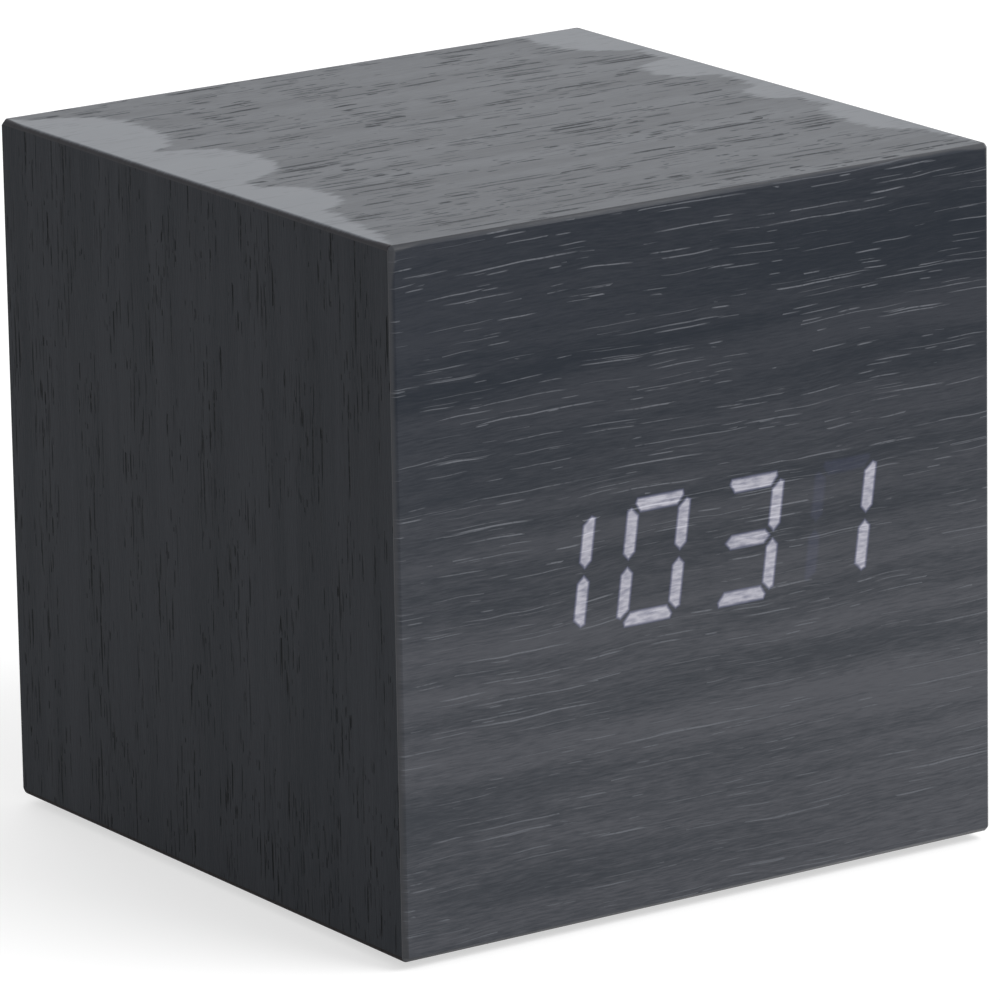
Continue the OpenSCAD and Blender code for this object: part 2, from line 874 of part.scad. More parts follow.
module power_jack() {
    color("#0f0f10") translate([jack_x, 0, control_z]) difference() {
        union() {
            block([-jack_side / 2, room_y1, -jack_side / 2],
                [jack_side / 2, back_y - fit_gap, jack_side / 2]);
            bar_y(jack_nose_d, room_y1, jack_y1);
        }
        bar_y(jack_bore_d, jack_y0, jack_y1 + cut);
    }
}

module power_jack_pin() {
    color("#c9c9c9") translate([jack_x, 0, control_z])
        bar_y(jack_pin_d, jack_y0, jack_y1 - jack_pin_below);
}

// Battery compartment

module battery_tray() {
    color("#242427") difference() {
        union() {
            block([-tray_x, -tray_y, base_z], [tray_x, tray_y, tray_z1]);
            block([-flange_x, -flange_y, base_z], [flange_x, flange_y, flange_z1]);
        }
        block([-room_l / 2, -room_b / 2, base_z - cut], [room_l / 2, room_b / 2, ceiling_z]);
        block([-pocket_x, -pocket_y, base_z - cut], [pocket_x, pocket_y, ledge_z]);
        along_x(-pocket_x - trunnion_l - trunnion_end, pocket_x + trunnion_l + trunnion_end)
            translate([hinge_y, hinge_z]) circle(d = trunnion_d + 2 * pivot_gap);
        block([-latch_w / 2 - latch_gap, -room_b / 2 - latch_leg_t - latch_gap, base_z - cut],
            [latch_w / 2 + latch_gap, 0, door_z1 + latch_leg_h + latch_gap]);
        translate([0, scoop_r - scoop_reach - pocket_y, base_z - cut])
            cylinder(r = scoop_r, h = scoop_depth + cut);
        at_tray_screws() sunk_hole(tray_screw_d, tray_screw_head, wall + cut);
        for (i = [-1, 1]) tag_slot(i);
    }
}

// Slot in the tray's roof for a solder tag
module tag_slot(i) {
    translate([i * (room_l / 2 - contact_t / 2), i * cell_pitch, 0])
        block([-contact_t / 2 - tag_gap, -tag_w / 2 - tag_gap, ceiling_z - cut],
            [contact_t / 2 + tag_gap, tag_w / 2 + tag_gap, tray_z1 + cut]);
}

module tray_screws() {
    color("#222222") at_tray_screws() sunk_screw(tray_screw_d, tray_screw_head, tray_screw_l);
}

module battery_door() {
    leg_y = -room_b / 2 - latch_leg_t;
    color("#242427") {
        difference() {
            along_x(-door_x, door_x) {
                translate([-door_y, door_z0]) square([door_y + hinge_y, door_t]);
                translate([hinge_y, hinge_z]) circle(d = door_t);
            }
            for (i = [0, 1]) mirror([i, 0, 0])
                translate([latch_w / 2 - latch_slit, -door_y - cut, door_z0 - cut])
                    cube([latch_slit, latch_l + cut, door_t + 2 * cut]);
        }
        block([-latch_w / 2 + latch_slit, leg_y, door_z1 - door_t / 2],
            [latch_w / 2 - latch_slit, leg_y + latch_leg_t, door_z1 + latch_leg_h]);
        for (i = [0, 1]) mirror([i, 0, 0]) along_x(door_x - trunnion_l / 2, door_x + trunnion_l)
            translate([hinge_y, hinge_z]) circle(d = trunnion_d);
    }
}

// Contact plate at end i (-1 left, 1 right) reaching over cells a to b
module contact_plate(i, a, b) {
    x0 = i * (room_l / 2 - contact_t / 2);
    block([x0 - contact_t / 2, cell_y[a] - plate_side / 2, cell_z - plate_side / 2],
        [x0 + contact_t / 2, cell_y[b] + plate_side / 2, cell_z + plate_side / 2]);
}

// Solder tag on the plate at end i
module solder_tag(i) {
    x0 = i * (room_l / 2 - contact_t / 2);
    block([x0 - contact_t / 2, i * cell_pitch - tag_w / 2, cell_z],
        [x0 + contact_t / 2, i * cell_pitch + tag_w / 2, tray_z1 + tag_proud]);
}

module contact_plates() {
    color("#c4c6c8") {
        contact_plate(-1, 0, 0);
        solder_tag(-1);
        contact_plate(-1, 1, 2);
        contact_plate(1, 0, 1);
        contact_plate(1, 2, 2);
        solder_tag(1);
    }
}

// Conical spring along X with straight ends
spring_curl = spring_l - 2 * spring_wire;
spring_rings = spring_turns * spring_steps;
function spring_at(t) = let (a = 360 * spring_turns * t, r = spring_r0 + (spring_r1 - spring_r0) * t)
    [spring_wire + spring_curl * t, r * cos(a), r * sin(a)];
spring_points = concat(
    [[0, spring_r0, 0]],
    [for (k = [0:spring_rings]) spring_at(k / spring_rings)],
    [[spring_l, spring_r1, 0]]
);
spring_last = len(spring_points) - 1;
spring_along = [for (i = [0:spring_last])
    unit(spring_points[min(i + 1, spring_last)] - spring_points[max(i - 1, 0)])];
spring_sides = [for (p = spring_points) [0, p[1], p[2]]];
spring_apart = min([for (i = [0:spring_last], j = [i + spring_steps / 2:1:spring_last])
    norm(spring_points[i] - spring_points[j])]) - spring_wire;
echo("least gap between a spring's curls", spring_apart);

module contact_springs() {
    color("#d0d2d4") for (c = [0:2]) translate([0, cell_y[c], cell_z]) mirror([c % 2, 0, 0])
        translate([-room_l / 2 + contact_t, 0, 0])
            tube(spring_points, spring_along, spring_sides, spring_wire, 6);
}

// Cell whose plus end points to +X, or to -X when flipped
module cell(c) {
    body_l = cell_l - nub_l;
    flipped = c % 2;
    translate([0, cell_y[c], cell_z]) mirror([flipped, 0, 0])
        translate([-room_l / 2 + contact_t + spring_l, 0, 0]) rotate([0, 90, 0]) rotate_extrude() polygon([
            [0, 0], [cell_d / 2 - cell_chamfer, 0], [cell_d / 2, cell_chamfer],
            [cell_d / 2, body_l - cell_chamfer], [cell_d / 2 - cell_chamfer, body_l],
            [nub_d / 2, body_l], [nub_d / 2, cell_l], [0, cell_l]
        ]);
}

module cell_front() {
    color("#3c6e47") cell(0);
}

module cell_middle() {
    color("#3c6e47") cell(1);
}

module cell_rear() {
    color("#3c6e47") cell(2);
}

front_veneer();
top_veneer();
left_veneer();
right_veneer();
bottom_veneer();
back_veneer();
front_panel();
top_panel();
left_panel();
right_panel();
bottom_panel();
back_panel();
corner_blocks();
back_screws();
feet();
display_housing();
lit_segments();
dark_segments();
display_pins();
main_board();
board_spacers();
board_screws();
controller_chip();
segment_resistors();
buzzer();
microphone();
clock_crystal();
capacitors();
thermistor();
battery_connector();
main_ribbon_connector();
rear_ribbon_connector();
ribbon_cable();
battery_lead_negative();
battery_lead_positive();
control_bezel();
control_board();
control_screws();
switch_bodies();
set_button();
up_button();
down_button();
set_plunger();
up_plunger();
down_plunger();
power_jack();
power_jack_pin();
battery_tray();
tray_screws();
battery_door();
contact_springs();
contact_plates();
cell_front();
cell_middle();
cell_rear();
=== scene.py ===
# %% [markdown]
# # A cube alarm clock whose digits shine through wood
#
# The clock is a black-stained wooden cube. Its display sits behind a sheet of veneer so thin that
# the lit segments show through it. The packed model gives every solid at its real size. This lesson
# dresses those solids: it adds grain, sheen and wear, rebuilds the pieces that need a finer mesh,
# and sets up a plain studio around the clock.

# %% Load the packed model as a fixed frame
import json
import math
import bmesh
import bpy
from mathutils import Matrix, Vector, geometry


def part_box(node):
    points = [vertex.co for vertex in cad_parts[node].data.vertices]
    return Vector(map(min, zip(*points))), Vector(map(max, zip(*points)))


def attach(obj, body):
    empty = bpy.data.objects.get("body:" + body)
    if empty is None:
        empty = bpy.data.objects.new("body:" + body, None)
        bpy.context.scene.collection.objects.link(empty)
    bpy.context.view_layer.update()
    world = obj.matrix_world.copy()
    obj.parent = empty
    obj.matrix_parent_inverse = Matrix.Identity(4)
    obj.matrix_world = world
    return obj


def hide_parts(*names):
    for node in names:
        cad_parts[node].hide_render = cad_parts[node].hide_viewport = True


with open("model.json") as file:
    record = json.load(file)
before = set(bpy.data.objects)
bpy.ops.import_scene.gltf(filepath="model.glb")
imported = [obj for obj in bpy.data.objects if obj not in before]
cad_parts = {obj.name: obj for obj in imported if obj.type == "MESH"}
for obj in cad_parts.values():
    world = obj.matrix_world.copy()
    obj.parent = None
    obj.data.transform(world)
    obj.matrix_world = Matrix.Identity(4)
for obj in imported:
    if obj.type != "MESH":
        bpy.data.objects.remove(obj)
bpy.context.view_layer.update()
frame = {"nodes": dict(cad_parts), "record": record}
nodes = frame["nodes"]
MM = 0.001

# %% [markdown]
# ## Sizes that the lesson takes from the frame
#
# Everything is in metres, in the frame's own place. Materials are easier to think of in
# millimetres, so the sizes that steer them are kept in millimetres. The case is 80 mm each way and
# stands on feet, so its middle lies a little higher than half its height.

# %% Measure the case
def box_mm(node):
    """Lowest and highest corner of a solid in millimetres."""
    low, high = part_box(node)
    return low / MM, high / MM


front_low, front_high = box_mm("front_veneer")
back_high = box_mm("top_veneer")[1].y
case_mid = (0, (front_low.y + back_high) / 2, (front_low.z + front_high.z) / 2)
case_half = front_high.x
sheet_thick = front_high.y - front_low.y
print(f"case {2 * case_half:.1f} mm wide, middle at height {case_mid[2]:.1f} mm, sheets {sheet_thick:.1f} mm")

# %% [markdown]
# ## Wires: shader maths that reads like Python
#
# A material is a net of nodes, and a long sum of nodes is hard to read. A wire stands for one output
# of a node. Adding or multiplying wires adds Math nodes, so `1 - mask` works as it does on paper.

# %% A wire
class Wire:
    """One output of a node. Operators on it add Math nodes."""

    def __init__(self, finish, socket):
        self.finish = finish
        self.socket = socket

    def __add__(self, other):
        return self.finish.math("ADD", self, other)

    def __sub__(self, other):
        return self.finish.math("SUBTRACT", self, other)

    def __rsub__(self, other):
        return self.finish.math("SUBTRACT", other, self)

    def __mul__(self, other):
        return self.finish.math("MULTIPLY", self, other)

    def __truediv__(self, other):
        return self.finish.math("DIVIDE", self, other)

    __radd__ = __add__
    __rmul__ = __mul__


print("wires turn sums into nodes")

# %% [markdown]
# ## Finishes: a material while it is being made
#
# A finish holds a material's nodes, with a method for each thing that the recipes below need: where a
# point lies, soft noise, a smooth step. Colours and vectors go through Mix and Vector Math nodes,
# because a Math node would turn a colour grey. Every node comes from one method, which sets a node's
# settings before its sockets, since some sockets only appear once a setting is made.

# %% A finish
def pick(sockets, key):
    """A node's socket by its number, identifier or name."""
    if isinstance(key, int):
        return sockets[key]
    return next(s for by in ("identifier", "name") for s in sockets if getattr(s, by) == key)


class Finish:
    """The nodes of one material, or of the world, while it is being made."""

    def __init__(self, owner):
        owner.use_nodes = True
        self.owner = owner
        self.tree = owner.node_tree
        self.tree.nodes.clear()

    def node(self, kind, settings=(), sockets=(), out=0):
        """Adds a node and gives the wire of one output, or of several."""
        made = self.tree.nodes.new("ShaderNode" + kind)
        for key, value in dict(settings).items():
            setattr(made, key, value)
        for key, value in dict(sockets).items():
            socket = pick(made.inputs, key)
            if isinstance(value, Wire):
                self.tree.links.new(value.socket, socket)
            else:
                socket.default_value = value
        if isinstance(out, tuple):
            return [Wire(self, pick(made.outputs, key)) for key in out]
        return Wire(self, pick(made.outputs, out)) if len(made.outputs) else made

    def math(self, operation, first, second=0.0, clamp=False):
        """A Math node on two values."""
        settings = {"operation": operation, "use_clamp": clamp}
        return self.node("Math", settings, {0: first, 1: second})

    def vector(self, x=0.0, y=0.0, z=0.0):
        """Three values as one vector."""
        return self.node("CombineXYZ", (), {"X": x, "Y": y, "Z": z})

    def place(self):
        """Where a point lies on its piece, in millimetres along X, Y and Z."""
        spot = self.node("TexCoord", out="Object")
        spot = self.node("VectorMath", {"operation": "SCALE"}, {0: spot, "Scale": 1 / MM})
        return self.node("SeparateXYZ", (), {0: spot}, out=("X", "Y", "Z"))

    def facing(self, axis):
        """How far a piece's surface faces along X, Y or Z, from -1 to 1."""
        return self.node("SeparateXYZ", (), {0: self.node("TexCoord", out="Normal")}, out=axis)

    def noise(self, x, y=0.0, z=0.0, detail=2.0, rough=0.5):
        """Soft noise from 0 to 1 whose lumps are about one unit wide."""
        sockets = {"Vector": self.vector(x, y, z), "Scale": 1.0, "Detail": detail, "Roughness": rough}
        return self.node("TexNoise", (), sockets, out=0)

    def lumps(self, place, size, detail=2.0, rough=0.5):
        """Soft noise from 0 to 1 in even lumps of a size in millimetres."""
        return self.noise(*[p / size for p in place], detail=detail, rough=rough)

    def ramp(self, value, low, high):
        """0 below low, 1 above high, and a smooth rise between them."""
        sockets = {"Value": value, "From Min": low, "From Max": high}
        return self.node("MapRange", {"interpolation_type": "SMOOTHSTEP"}, sockets, out="Result")

    def mix(self, mask, first, second):
        """First colour where the mask is 0, second where it is 1."""
        sockets = {"Factor_Float": mask, "A_Color": first, "B_Color": second}
        return self.node("Mix", {"data_type": "RGBA"}, sockets, out="Result_Color")

    def bump(self, height, depth):
        """A surface normal from a height of 0 to 1 that stands for a depth in millimetres."""
        return self.node("Bump", (), {"Strength": 1.0, "Distance": depth * MM, "Height": height})

    def surface(self, sockets):
        """Ends the material in one shader with these sockets."""
        shader = self.node("BsdfPrincipled", (), sockets)
        self.node("OutputMaterial", (), {"Surface": shader})
        return self.owner


def new_finish(name):
    """An empty material to fill."""
    return Finish(bpy.data.materials.new(name))


print("a finish has", sum(callable(v) for v in vars(Finish).values()), "methods")

# %% [markdown]
# ## Colours
#
# Colours are written as web codes, as a paint chart gives them. A shader counts light itself, so each
# code is turned into linear values by the standard curve. Shades of one colour come from the same code.

# %% Tints and shades
def tint(code):
    """A web colour in the linear values that shaders use."""
    steps = [int(code[i:i + 2], 16) / 255 for i in (1, 3, 5)]
    return (*[s / 12.92 if s < 0.04045 else ((s + 0.055) / 1.055) ** 2.4 for s in steps], 1.0)


def shade(code, by):
    """A web colour made darker (below 1) or paler (above 1)."""
    return (*[min(c * by, 1.0) for c in tint(code)[:3]], 1.0)


print(f"middle grey is {tint('#808080')[0]:.2f} in linear light")

# %% [markdown]
# ## Open pores
#
# Ash and oak have long open vessels that show as thin dashes along the grain. A photograph would
# be the easy way to draw them, but it would not hold up close. Here a Voronoi texture scatters
# points in stretched cells. Each cell's own random colour decides whether it holds a dash, and how
# long and wide the dash is. The distance to the point, along and across the grain, draws it.

# %% Dashes along the grain
bead_length = 0.9


def dashes(f, u, v, cut, share, seed):
    """A mask of thin dashes along u. The cut gives their length, distance apart and width in millimetres."""
    length, apart, wide = cut
    cell = f.vector(u / length + seed, v / apart)
    scatter = {"Vector": cell, "Scale": 1.0, "Randomness": 1.0}
    spot, chance = f.node("TexVoronoi", {"voronoi_dimensions": "2D"}, scatter, ("Position", "Color"))
    off = f.node("VectorMath", {"operation": "SUBTRACT"}, {0: cell, 1: spot})
    du, dv = f.node("SeparateXYZ", (), {0: off}, ("X", "Y"))
    long_by, wide_by, here = f.node("SeparateColor", (), {0: chance}, ("Red", "Green", "Blue"))
    half_long = 0.08 + 0.5 * long_by * long_by
    du = du / half_long
    half_wide = (0.6 + 0.8 * wide_by) * (wide / apart / 2)
    dv = dv / half_wide
    along = f.math("SUBTRACT", 1.3, 1.3 * du * du, clamp=True)
    across = f.math("SUBTRACT", 1.5, 1.5 * dv * dv, clamp=True)
    beads = f.noise(u / bead_length + seed, v / apart, 5.0, detail=1.0)
    faint = 0.3 + 0.7 * wide_by
    return along * across * faint * f.ramp(beads, 0.1, 0.5) * f.math("LESS_THAN", here, share)


print(f"dashes stand for open vessels, broken into beads of {bead_length} mm")

# %% [markdown]
# ## Stained veneer
#
# Each face of the case is its own sheet, so each has its own grain. One recipe serves them all:
# slow bands of early and late wood, fine fibres, pores in two lengths that gather in drifts, and a
# rubbed edge, wider at the corners, where the stain was sanded thin; on the front its paler colour is partly
# a painted edge highlight. The lacquer is a coat that the open pores break, so they look dark where the sheet
# mirrors a bright room and pale where they hold dust. A sheet may also carry painted light that makes it
# paler and shinier below, have closed wood at its ends, or let light through. All lengths are in
# millimetres: a lump of noise is as long as the number that its place is divided by.

# %% Rubbed edges, with a painted highlight on the front
def edge_wear_and_highlight(f, from_mid_u, from_mid_v, fibres):
    """1 along a sheet's outer edges, where the stain was sanded thin and, on the front, an edge highlight is
    painted; 0 elsewhere.
    """
    edge_u = case_half - f.math("ABSOLUTE", from_mid_u)
    edge_v = case_half - f.math("ABSOLUTE", from_mid_v)
    ragged = 0.4 * (fibres - 0.5)
    near = f.math("MINIMUM", edge_u, edge_v) + ragged
    corner = 1 - f.ramp(edge_u + edge_v, 1.0, 5.0)
    return 1 - f.ramp(near - 0.4 * corner, 0.05, 0.4)


print("edges wear over about 0.4 mm")

# %% The veneer recipe
def veneer(name, along, across, seed, dark, pale, pore, sheen, rim, vessel, tick, share, wavy,
           gather=(0.35, 0.6), opened=0.95, groove=0.05, worn="#2b2422", lower=None, smooth=None, glow=None):
    """A sheet whose grain runs along one axis and whose bands lie across another (0, 1 or 2)."""
    f = new_finish(name)
    place = f.place()
    u, v = place[along], place[across]
    slow_wave = f.noise(u / 30 + seed, v / 24, detail=1.0)
    quick_wave = f.noise(u / 6 + seed, v / 3, 8.0, detail=1.0)
    grain_v = v + wavy * slow_wave + 0.25 * wavy * quick_wave
    bands = f.noise(u / 90 + seed, grain_v / 5, detail=3.0, rough=0.6)
    fibres = f.noise(u / 3 + seed, grain_v / 0.25, detail=3.0, rough=0.7)
    drifts = f.noise(u / 16 + seed, grain_v / 5, 3.0, detail=2.0)
    share_here = share * f.ramp(drifts, *gather)
    vessels = dashes(f, u, grain_v, vessel, share_here, seed)
    ticks = dashes(f, u, grain_v, tick, share_here, seed + 40)
    pores = f.math("MAXIMUM", vessels, 0.8 * ticks)
    tone = f.ramp(0.6 * bands + 0.4 * fibres, 0.36, 0.64)
    coat = sheen * (0.45 + 0.7 * fibres + 0.4 * bands)
    # Painted light: a sheet given a lower ramp is painted paler, with fainter pores and more sheen, towards
    # its bottom.
    if lower:
        below = lower(f, v)
        tone = tone * (0.4 + 0.6 * below) + 0.1 * below
        pores = pores * (1 - 0.35 * below)
        coat = coat * (0.3 + 0.7 * below)
    if smooth:
        closed = smooth(f, place)
        pores = pores * (1 - 0.8 * closed)
        tone = 0.37 * tone
        tone = tone + closed * (1.0 - tone)
        coat = coat + closed * (0.95 + 0.1 * bands - coat)
    colour = f.mix(tone, tint(dark), tint(pale))
    colour = f.mix(pores, colour, tint(pore))
    # The rubbed edge is sanded stain; on the front its paler colour is also a painted edge highlight.
    rubbed = edge_wear_and_highlight(f, u - case_mid[along], v - case_mid[across], fibres)
    coat = coat + rubbed * (rim - coat)
    sockets = {
        "Base Color": f.mix(0.65 * rubbed, colour, tint(worn)),
        "Roughness": 0.5 + 0.25 * fibres,
        "Specular IOR Level": 0.05,
        "Coat Weight": coat * (1 - opened * pores),
        "Coat Roughness": 0.32,
        "Coat IOR": 1.5,
        "Normal": f.bump(0.35 * fibres - pores, groove),
    }
    if glow:
        sockets["Emission Color"] = glow(f, u, grain_v, pores)
        sockets["Emission Strength"] = 1.0
    return f.surface(sockets)


print("the veneer recipe takes a grain direction, two tones and a sheen")

# %% [markdown]
# ## Light through the front sheet
#
# Behind the front sheet lie the display's segments. The light that comes through is softened by the
# wood and broken up by its grain. It could be a lamp behind a see-through sheet, but that is slow and
# noisy. The sheet glows by itself instead: its mesh carries a value called glow, 1 over a lit segment and
# 0 beside it, and the finish turns that value into a pale violet light streaked by the fibres.

# %% Light and shade of the front sheet
def glow_through(f, u, v, pores):
    """The light of the digits, mottled by the wood in front of them."""
    glow = f.node("Attribute", {"attribute_name": "glow"}, out="Fac")
    mottle = f.noise(u / 1.6, v / 0.45, 7.0, detail=3.0)
    light = glow * (0.4 + mottle + 0.2 * pores)
    hue = f.mix(light, (0.05, 0.06, 0.2, 1.0), (0.42, 0.41, 0.46, 1.0))
    return f.mix(light, (0.0, 0.0, 0.0, 1.0), hue)


def painted_light_below(f, v):
    """Painted light: 1 over the lower quarter of the front sheet, falling to 0 near its upper edge. It paints
    the front paler and shinier lower down, where the floor's light is reflected.
    """
    return 1 - f.ramp(v - case_mid[2], -22.0, 34.0)


print("the front sheet is paler below and lit by its digits")

# %% [markdown]
# ## Closed wood on the top sheet
#
# Along the left and right edges of the top the wood is closed and shines evenly, in rounded lobes like
# the ends of growth rings. A painted mask could hold them. Here each lobe is three numbers in
# millimetres: where its middle lies, half its length along the edge, and how far it reaches in.

# %% Lobes along the edges
left_lobes = ((25.5, 12.5, 10.5), (5.0, 10.5, 12.5), (-14.5, 8.0, 8.5), (0.0, 41.0, 4.5))
right_lobes = ((38.0, 14.0, 9.0), (13.5, 6.0, 8.0), (-3.5, 4.5, 6.0), (-21.0, 9.0, 5.5), (0.0, 42.0, 2.5))


def lobed_edge(f, y, lobes):
    """How far the closed wood reaches in, in millimetres."""
    reach = 0.0
    for middle, half_long, deep in lobes:
        off = (y - middle) / half_long
        lobe = deep - deep * off * off * off * off
        reach = f.math("MAXIMUM", lobe, reach)
    return reach


def smooth_ends(f, place):
    """Closed late wood in lobes along the left and right edges of the top sheet."""
    x, y = place[0], place[1]
    ragged = 5.0 * f.noise(x / 5, y / 0.9, 2.0, detail=3.0, rough=0.6) - 2.5
    from_left = x + case_half - lobed_edge(f, y, left_lobes)
    from_right = case_half - x - lobed_edge(f, y, right_lobes)
    return 1 - f.ramp(f.math("MINIMUM", from_left, from_right) + ragged, -0.8, 0.8)


print(f"{len(left_lobes)} lobes on the left, {len(right_lobes)} on the right")

# %% [markdown]
# ## The six sheets
#
# The grain lies level on the front and back and stands upright on the sides. The front's pores hold pale
# dust. The top mirrors the room at a low angle, so its pores look dark. The sides and the bottom share one
# copy with darker tones, darker pores and little sheen, which paints in the shade that the left side stands
# in.
# A vessel and a tick are the long and the short pores: length, distance apart and width.

# %% Finishes of the six sheets
# Painted shade: the sides and the bottom are a darker, duller copy of the veneer.
shaded_side = {
    "dark": "#20242a", "pale": "#2c2f35", "pore": "#121417", "sheen": 0.13, "rim": 0.03, "groove": 0.25,
    "vessel": (8.0, 0.9, 0.24), "tick": (4.0, 0.6, 0.18), "share": 0.85, "wavy": 0.6, "gather": (0.42, 0.6),
}
finishes = {
    "front_veneer": veneer(
        "stained_front", along=0, across=2, seed=3.0, sheen=0.78, rim=0.6,
        # The front's worn colour is paler than wear alone: it is partly a painted edge highlight.
        dark="#20262f", pale="#44464d", pore="#75787f", worn="#3f4044",
        vessel=(20.0, 1.3, 0.17), tick=(10.0, 0.75, 0.14), share=0.75, wavy=1.9, gather=(0.32, 0.56),
        opened=0.5, lower=painted_light_below, glow=glow_through),
    "top_veneer": veneer(
        "stained_top", along=0, across=1, seed=11.0, sheen=0.71, rim=0.2,
        dark="#1f2630", pale="#3d444e", pore="#171c24",
        vessel=(12.0, 1.1, 0.55), tick=(5.0, 0.65, 0.34), share=1.0, wavy=1.6,
        opened=0.75, smooth=smooth_ends),
    "side_veneer": veneer("stained_side", along=2, across=1, seed=23.0, **shaded_side),
    "bottom_veneer": veneer("stained_bottom", along=0, across=1, seed=47.0, **shaded_side),
    "back_veneer": veneer(
        "stained_back", along=0, across=2, seed=31.0, sheen=0.4, rim=0.1,
        dark="#21252c", pale="#383b42", pore="#5a5d65",
        vessel=(15.0, 1.4, 0.16), tick=(6.0, 0.8, 0.13), share=0.5, wavy=2.0),
}
print("sheet finishes:", ", ".join(finishes))

# %% [markdown]
# ## Dressing the sheets
#
# The top, sides, bottom and back keep their solids and only get a finish. Each finish can be painted into a
# picture that wraps round its piece. A sheet shows one broad face, so its wrapping gives that face nearly all
# of the picture, folds the thin edges out beside it, and hides the inner face in a corner.

# %% Give each sheet its finish and its wrapping
picture_margin = 1.5 * MM
square_on = 0.9
corner_share = 0.01


def wrap_sheet(piece, axis, side):
    """Spreads the outer face (on that axis, side -1 or 1) over the piece's picture."""
    mesh = piece.data
    across = [i for i in range(3) if i != axis]
    corners = [Vector(v.co) for v in mesh.vertices]
    low = Vector(min(c[i] for c in corners) for i in range(3))
    high = Vector(max(c[i] for c in corners) for i in range(3))
    outer = high[axis] if side > 0 else low[axis]
    span = max(high[i] - low[i] for i in across) + 2 * picture_margin
    layer = mesh.uv_layers.new(name="OFBake")
    for face in mesh.polygons:
        facing = face.normal[axis] * side
        for loop in face.loop_indices:
            spot = corners[mesh.loops[loop].vertex_index]
            deep = 0 if facing > square_on else abs(spot[axis] - outer)
            uv = [(spot[i] + face.normal[i] * deep - low[i] + picture_margin) / span for i in across]
            layer.data[loop].uv = [corner_share * c for c in uv] if facing < -square_on else uv


def dress(node, material):
    """Gives a solid of the frame one material."""
    nodes[node].data.materials.clear()
    nodes[node].data.materials.append(material)


sheets = {
    "top_veneer": ("top_veneer", 2, 1),
    "left_veneer": ("side_veneer", 0, -1),
    "right_veneer": ("side_veneer", 0, 1),
    "bottom_veneer": ("bottom_veneer", 2, -1),
    "back_veneer": ("back_veneer", 1, 1),
}
for node, (finish, axis, side) in sheets.items():
    dress(node, finishes[finish])
    wrap_sheet(nodes[node], axis, side)
print(f"{len(sheets)} sheets dressed")

# %% [markdown]
# ## The front sheet
#
# The front sheet needs points along every segment, so that the glow can be sharp at their outlines. Its
# mesh is rebuilt. The first step reads the outlines from the display's own solids: everything that doesn't
# face the front is deleted, and the triangles left are merged into one face for each segment. Some unlit
# segments of the last digit glimmer too, because a little light leaks into them.

# %% Outlines of the segments
weld = 0.001 * MM
flat_angle = 0.02
digit_pitch = 12.7
digit_slant = 0.14


def front_outlines(node):
    """Each solid's outline seen from the front, as points in X and Z."""
    shape = bmesh.new()
    shape.from_mesh(nodes[node].data)
    bmesh.ops.remove_doubles(shape, verts=shape.verts, dist=weld)
    bmesh.ops.delete(shape, geom=[f for f in shape.faces if f.normal.y > -0.99], context="FACES")
    bmesh.ops.dissolve_limit(shape, angle_limit=flat_angle, verts=shape.verts, edges=shape.edges)
    loops = [[Vector((v.co.x, v.co.z)) for v in f.verts] for f in shape.faces]
    shape.free()
    return loops


def is_ghost(loop):
    """True for the upper bar and the two left posts of the last digit."""
    middle = sum(loop, Vector((0, 0))) / len(loop) / MM
    above = middle.y - case_mid[2]
    aside = middle.x - 1.5 * digit_pitch - digit_slant * above
    return abs(aside) < 5 and (aside < -2 or above > 4)


lit_loops = front_outlines("lit_segments")
dark_loops = front_outlines("dark_segments")
ghost_loops = [loop for loop in dark_loops if is_ghost(loop)]
print(f"{len(lit_loops)} lit and {len(dark_loops)} dark outlines, {len(ghost_loops)} of them glimmer")

# %% [markdown]
# ## The sanded border
#
# Rings of points round the border make the sanded edge and the thickness of the sheet. A bevel modifier
# could round the edge too, but the rings also give the corners that handling has rubbed a little rounder.

# %% Border of the front sheet
sanded_edge = 0.5 * MM
corner_rub = 0.6 * MM


def border_ring(angle, steps=4):
    """Points round the sheet's border, where its sanded edge has turned by an angle."""
    reach = sanded_edge * math.sin(angle)
    flat_half = case_half * MM - sanded_edge
    points = []
    for k in range(4):
        centre_x = flat_half * (1 if k in (0, 3) else -1)
        centre_z = case_mid[2] * MM + flat_half * (1 if k in (0, 1) else -1)
        for step in range(steps + 1):
            a = math.pi / 2 * (k + step / steps)
            points.append((centre_x + reach * math.cos(a), centre_z + reach * math.sin(a)))
    return points


def join_rings(shape, rings):
    """Smooth faces between each closed ring of points and the next."""
    for near, far in zip(rings, rings[1:]):
        for i in range(len(near)):
            j = (i + 1) % len(near)
            shape.faces.new((near[i], near[j], far[j], far[i])).smooth = True


def add_border(shape, steps=5):
    """The sanded edge and the thickness of the sheet."""
    front_y = front_low.y * MM
    turns = [math.pi / 2 * k / steps for k in range(steps + 1)]
    rings = [(border_ring(a), front_y + sanded_edge * (1 - math.cos(a))) for a in turns]
    rings.append((rings[-1][0], front_high.y * MM))
    rings = [[shape.verts.new((x, y, z)) for x, z in ring] for ring, y in rings]
    join_rings(shape, rings)
    shape.faces.new(rings[-1])


def rub_corners(shape):
    """Pulls the points of the sharp corners in, as handling has rubbed the corners of the case."""
    middle = Vector(case_mid) * MM
    reach = case_half * MM * math.sqrt(3) - corner_rub
    for vert in shape.verts:
        out = vert.co - middle
        if out.length > reach:
            vert.co = middle + out * (reach / out.length)


print(f"the edge is sanded by {sanded_edge / MM} mm, the corners are rubbed by {corner_rub / MM} mm")

# %% [markdown]
# ## The sheet with its glow
#
# Each outline is drawn three times, a little outside, on and a little inside the segment, with a glow of 0,
# a half and 1. A triangulation that keeps these lines joins them with the border's corners, so the glow fades
# over the narrow strip between them, as light does in thin wood.

# %% Mesh of the front sheet
glow_blur = 0.2 * MM
ghost_level = 0.1
same_point = 1e-8


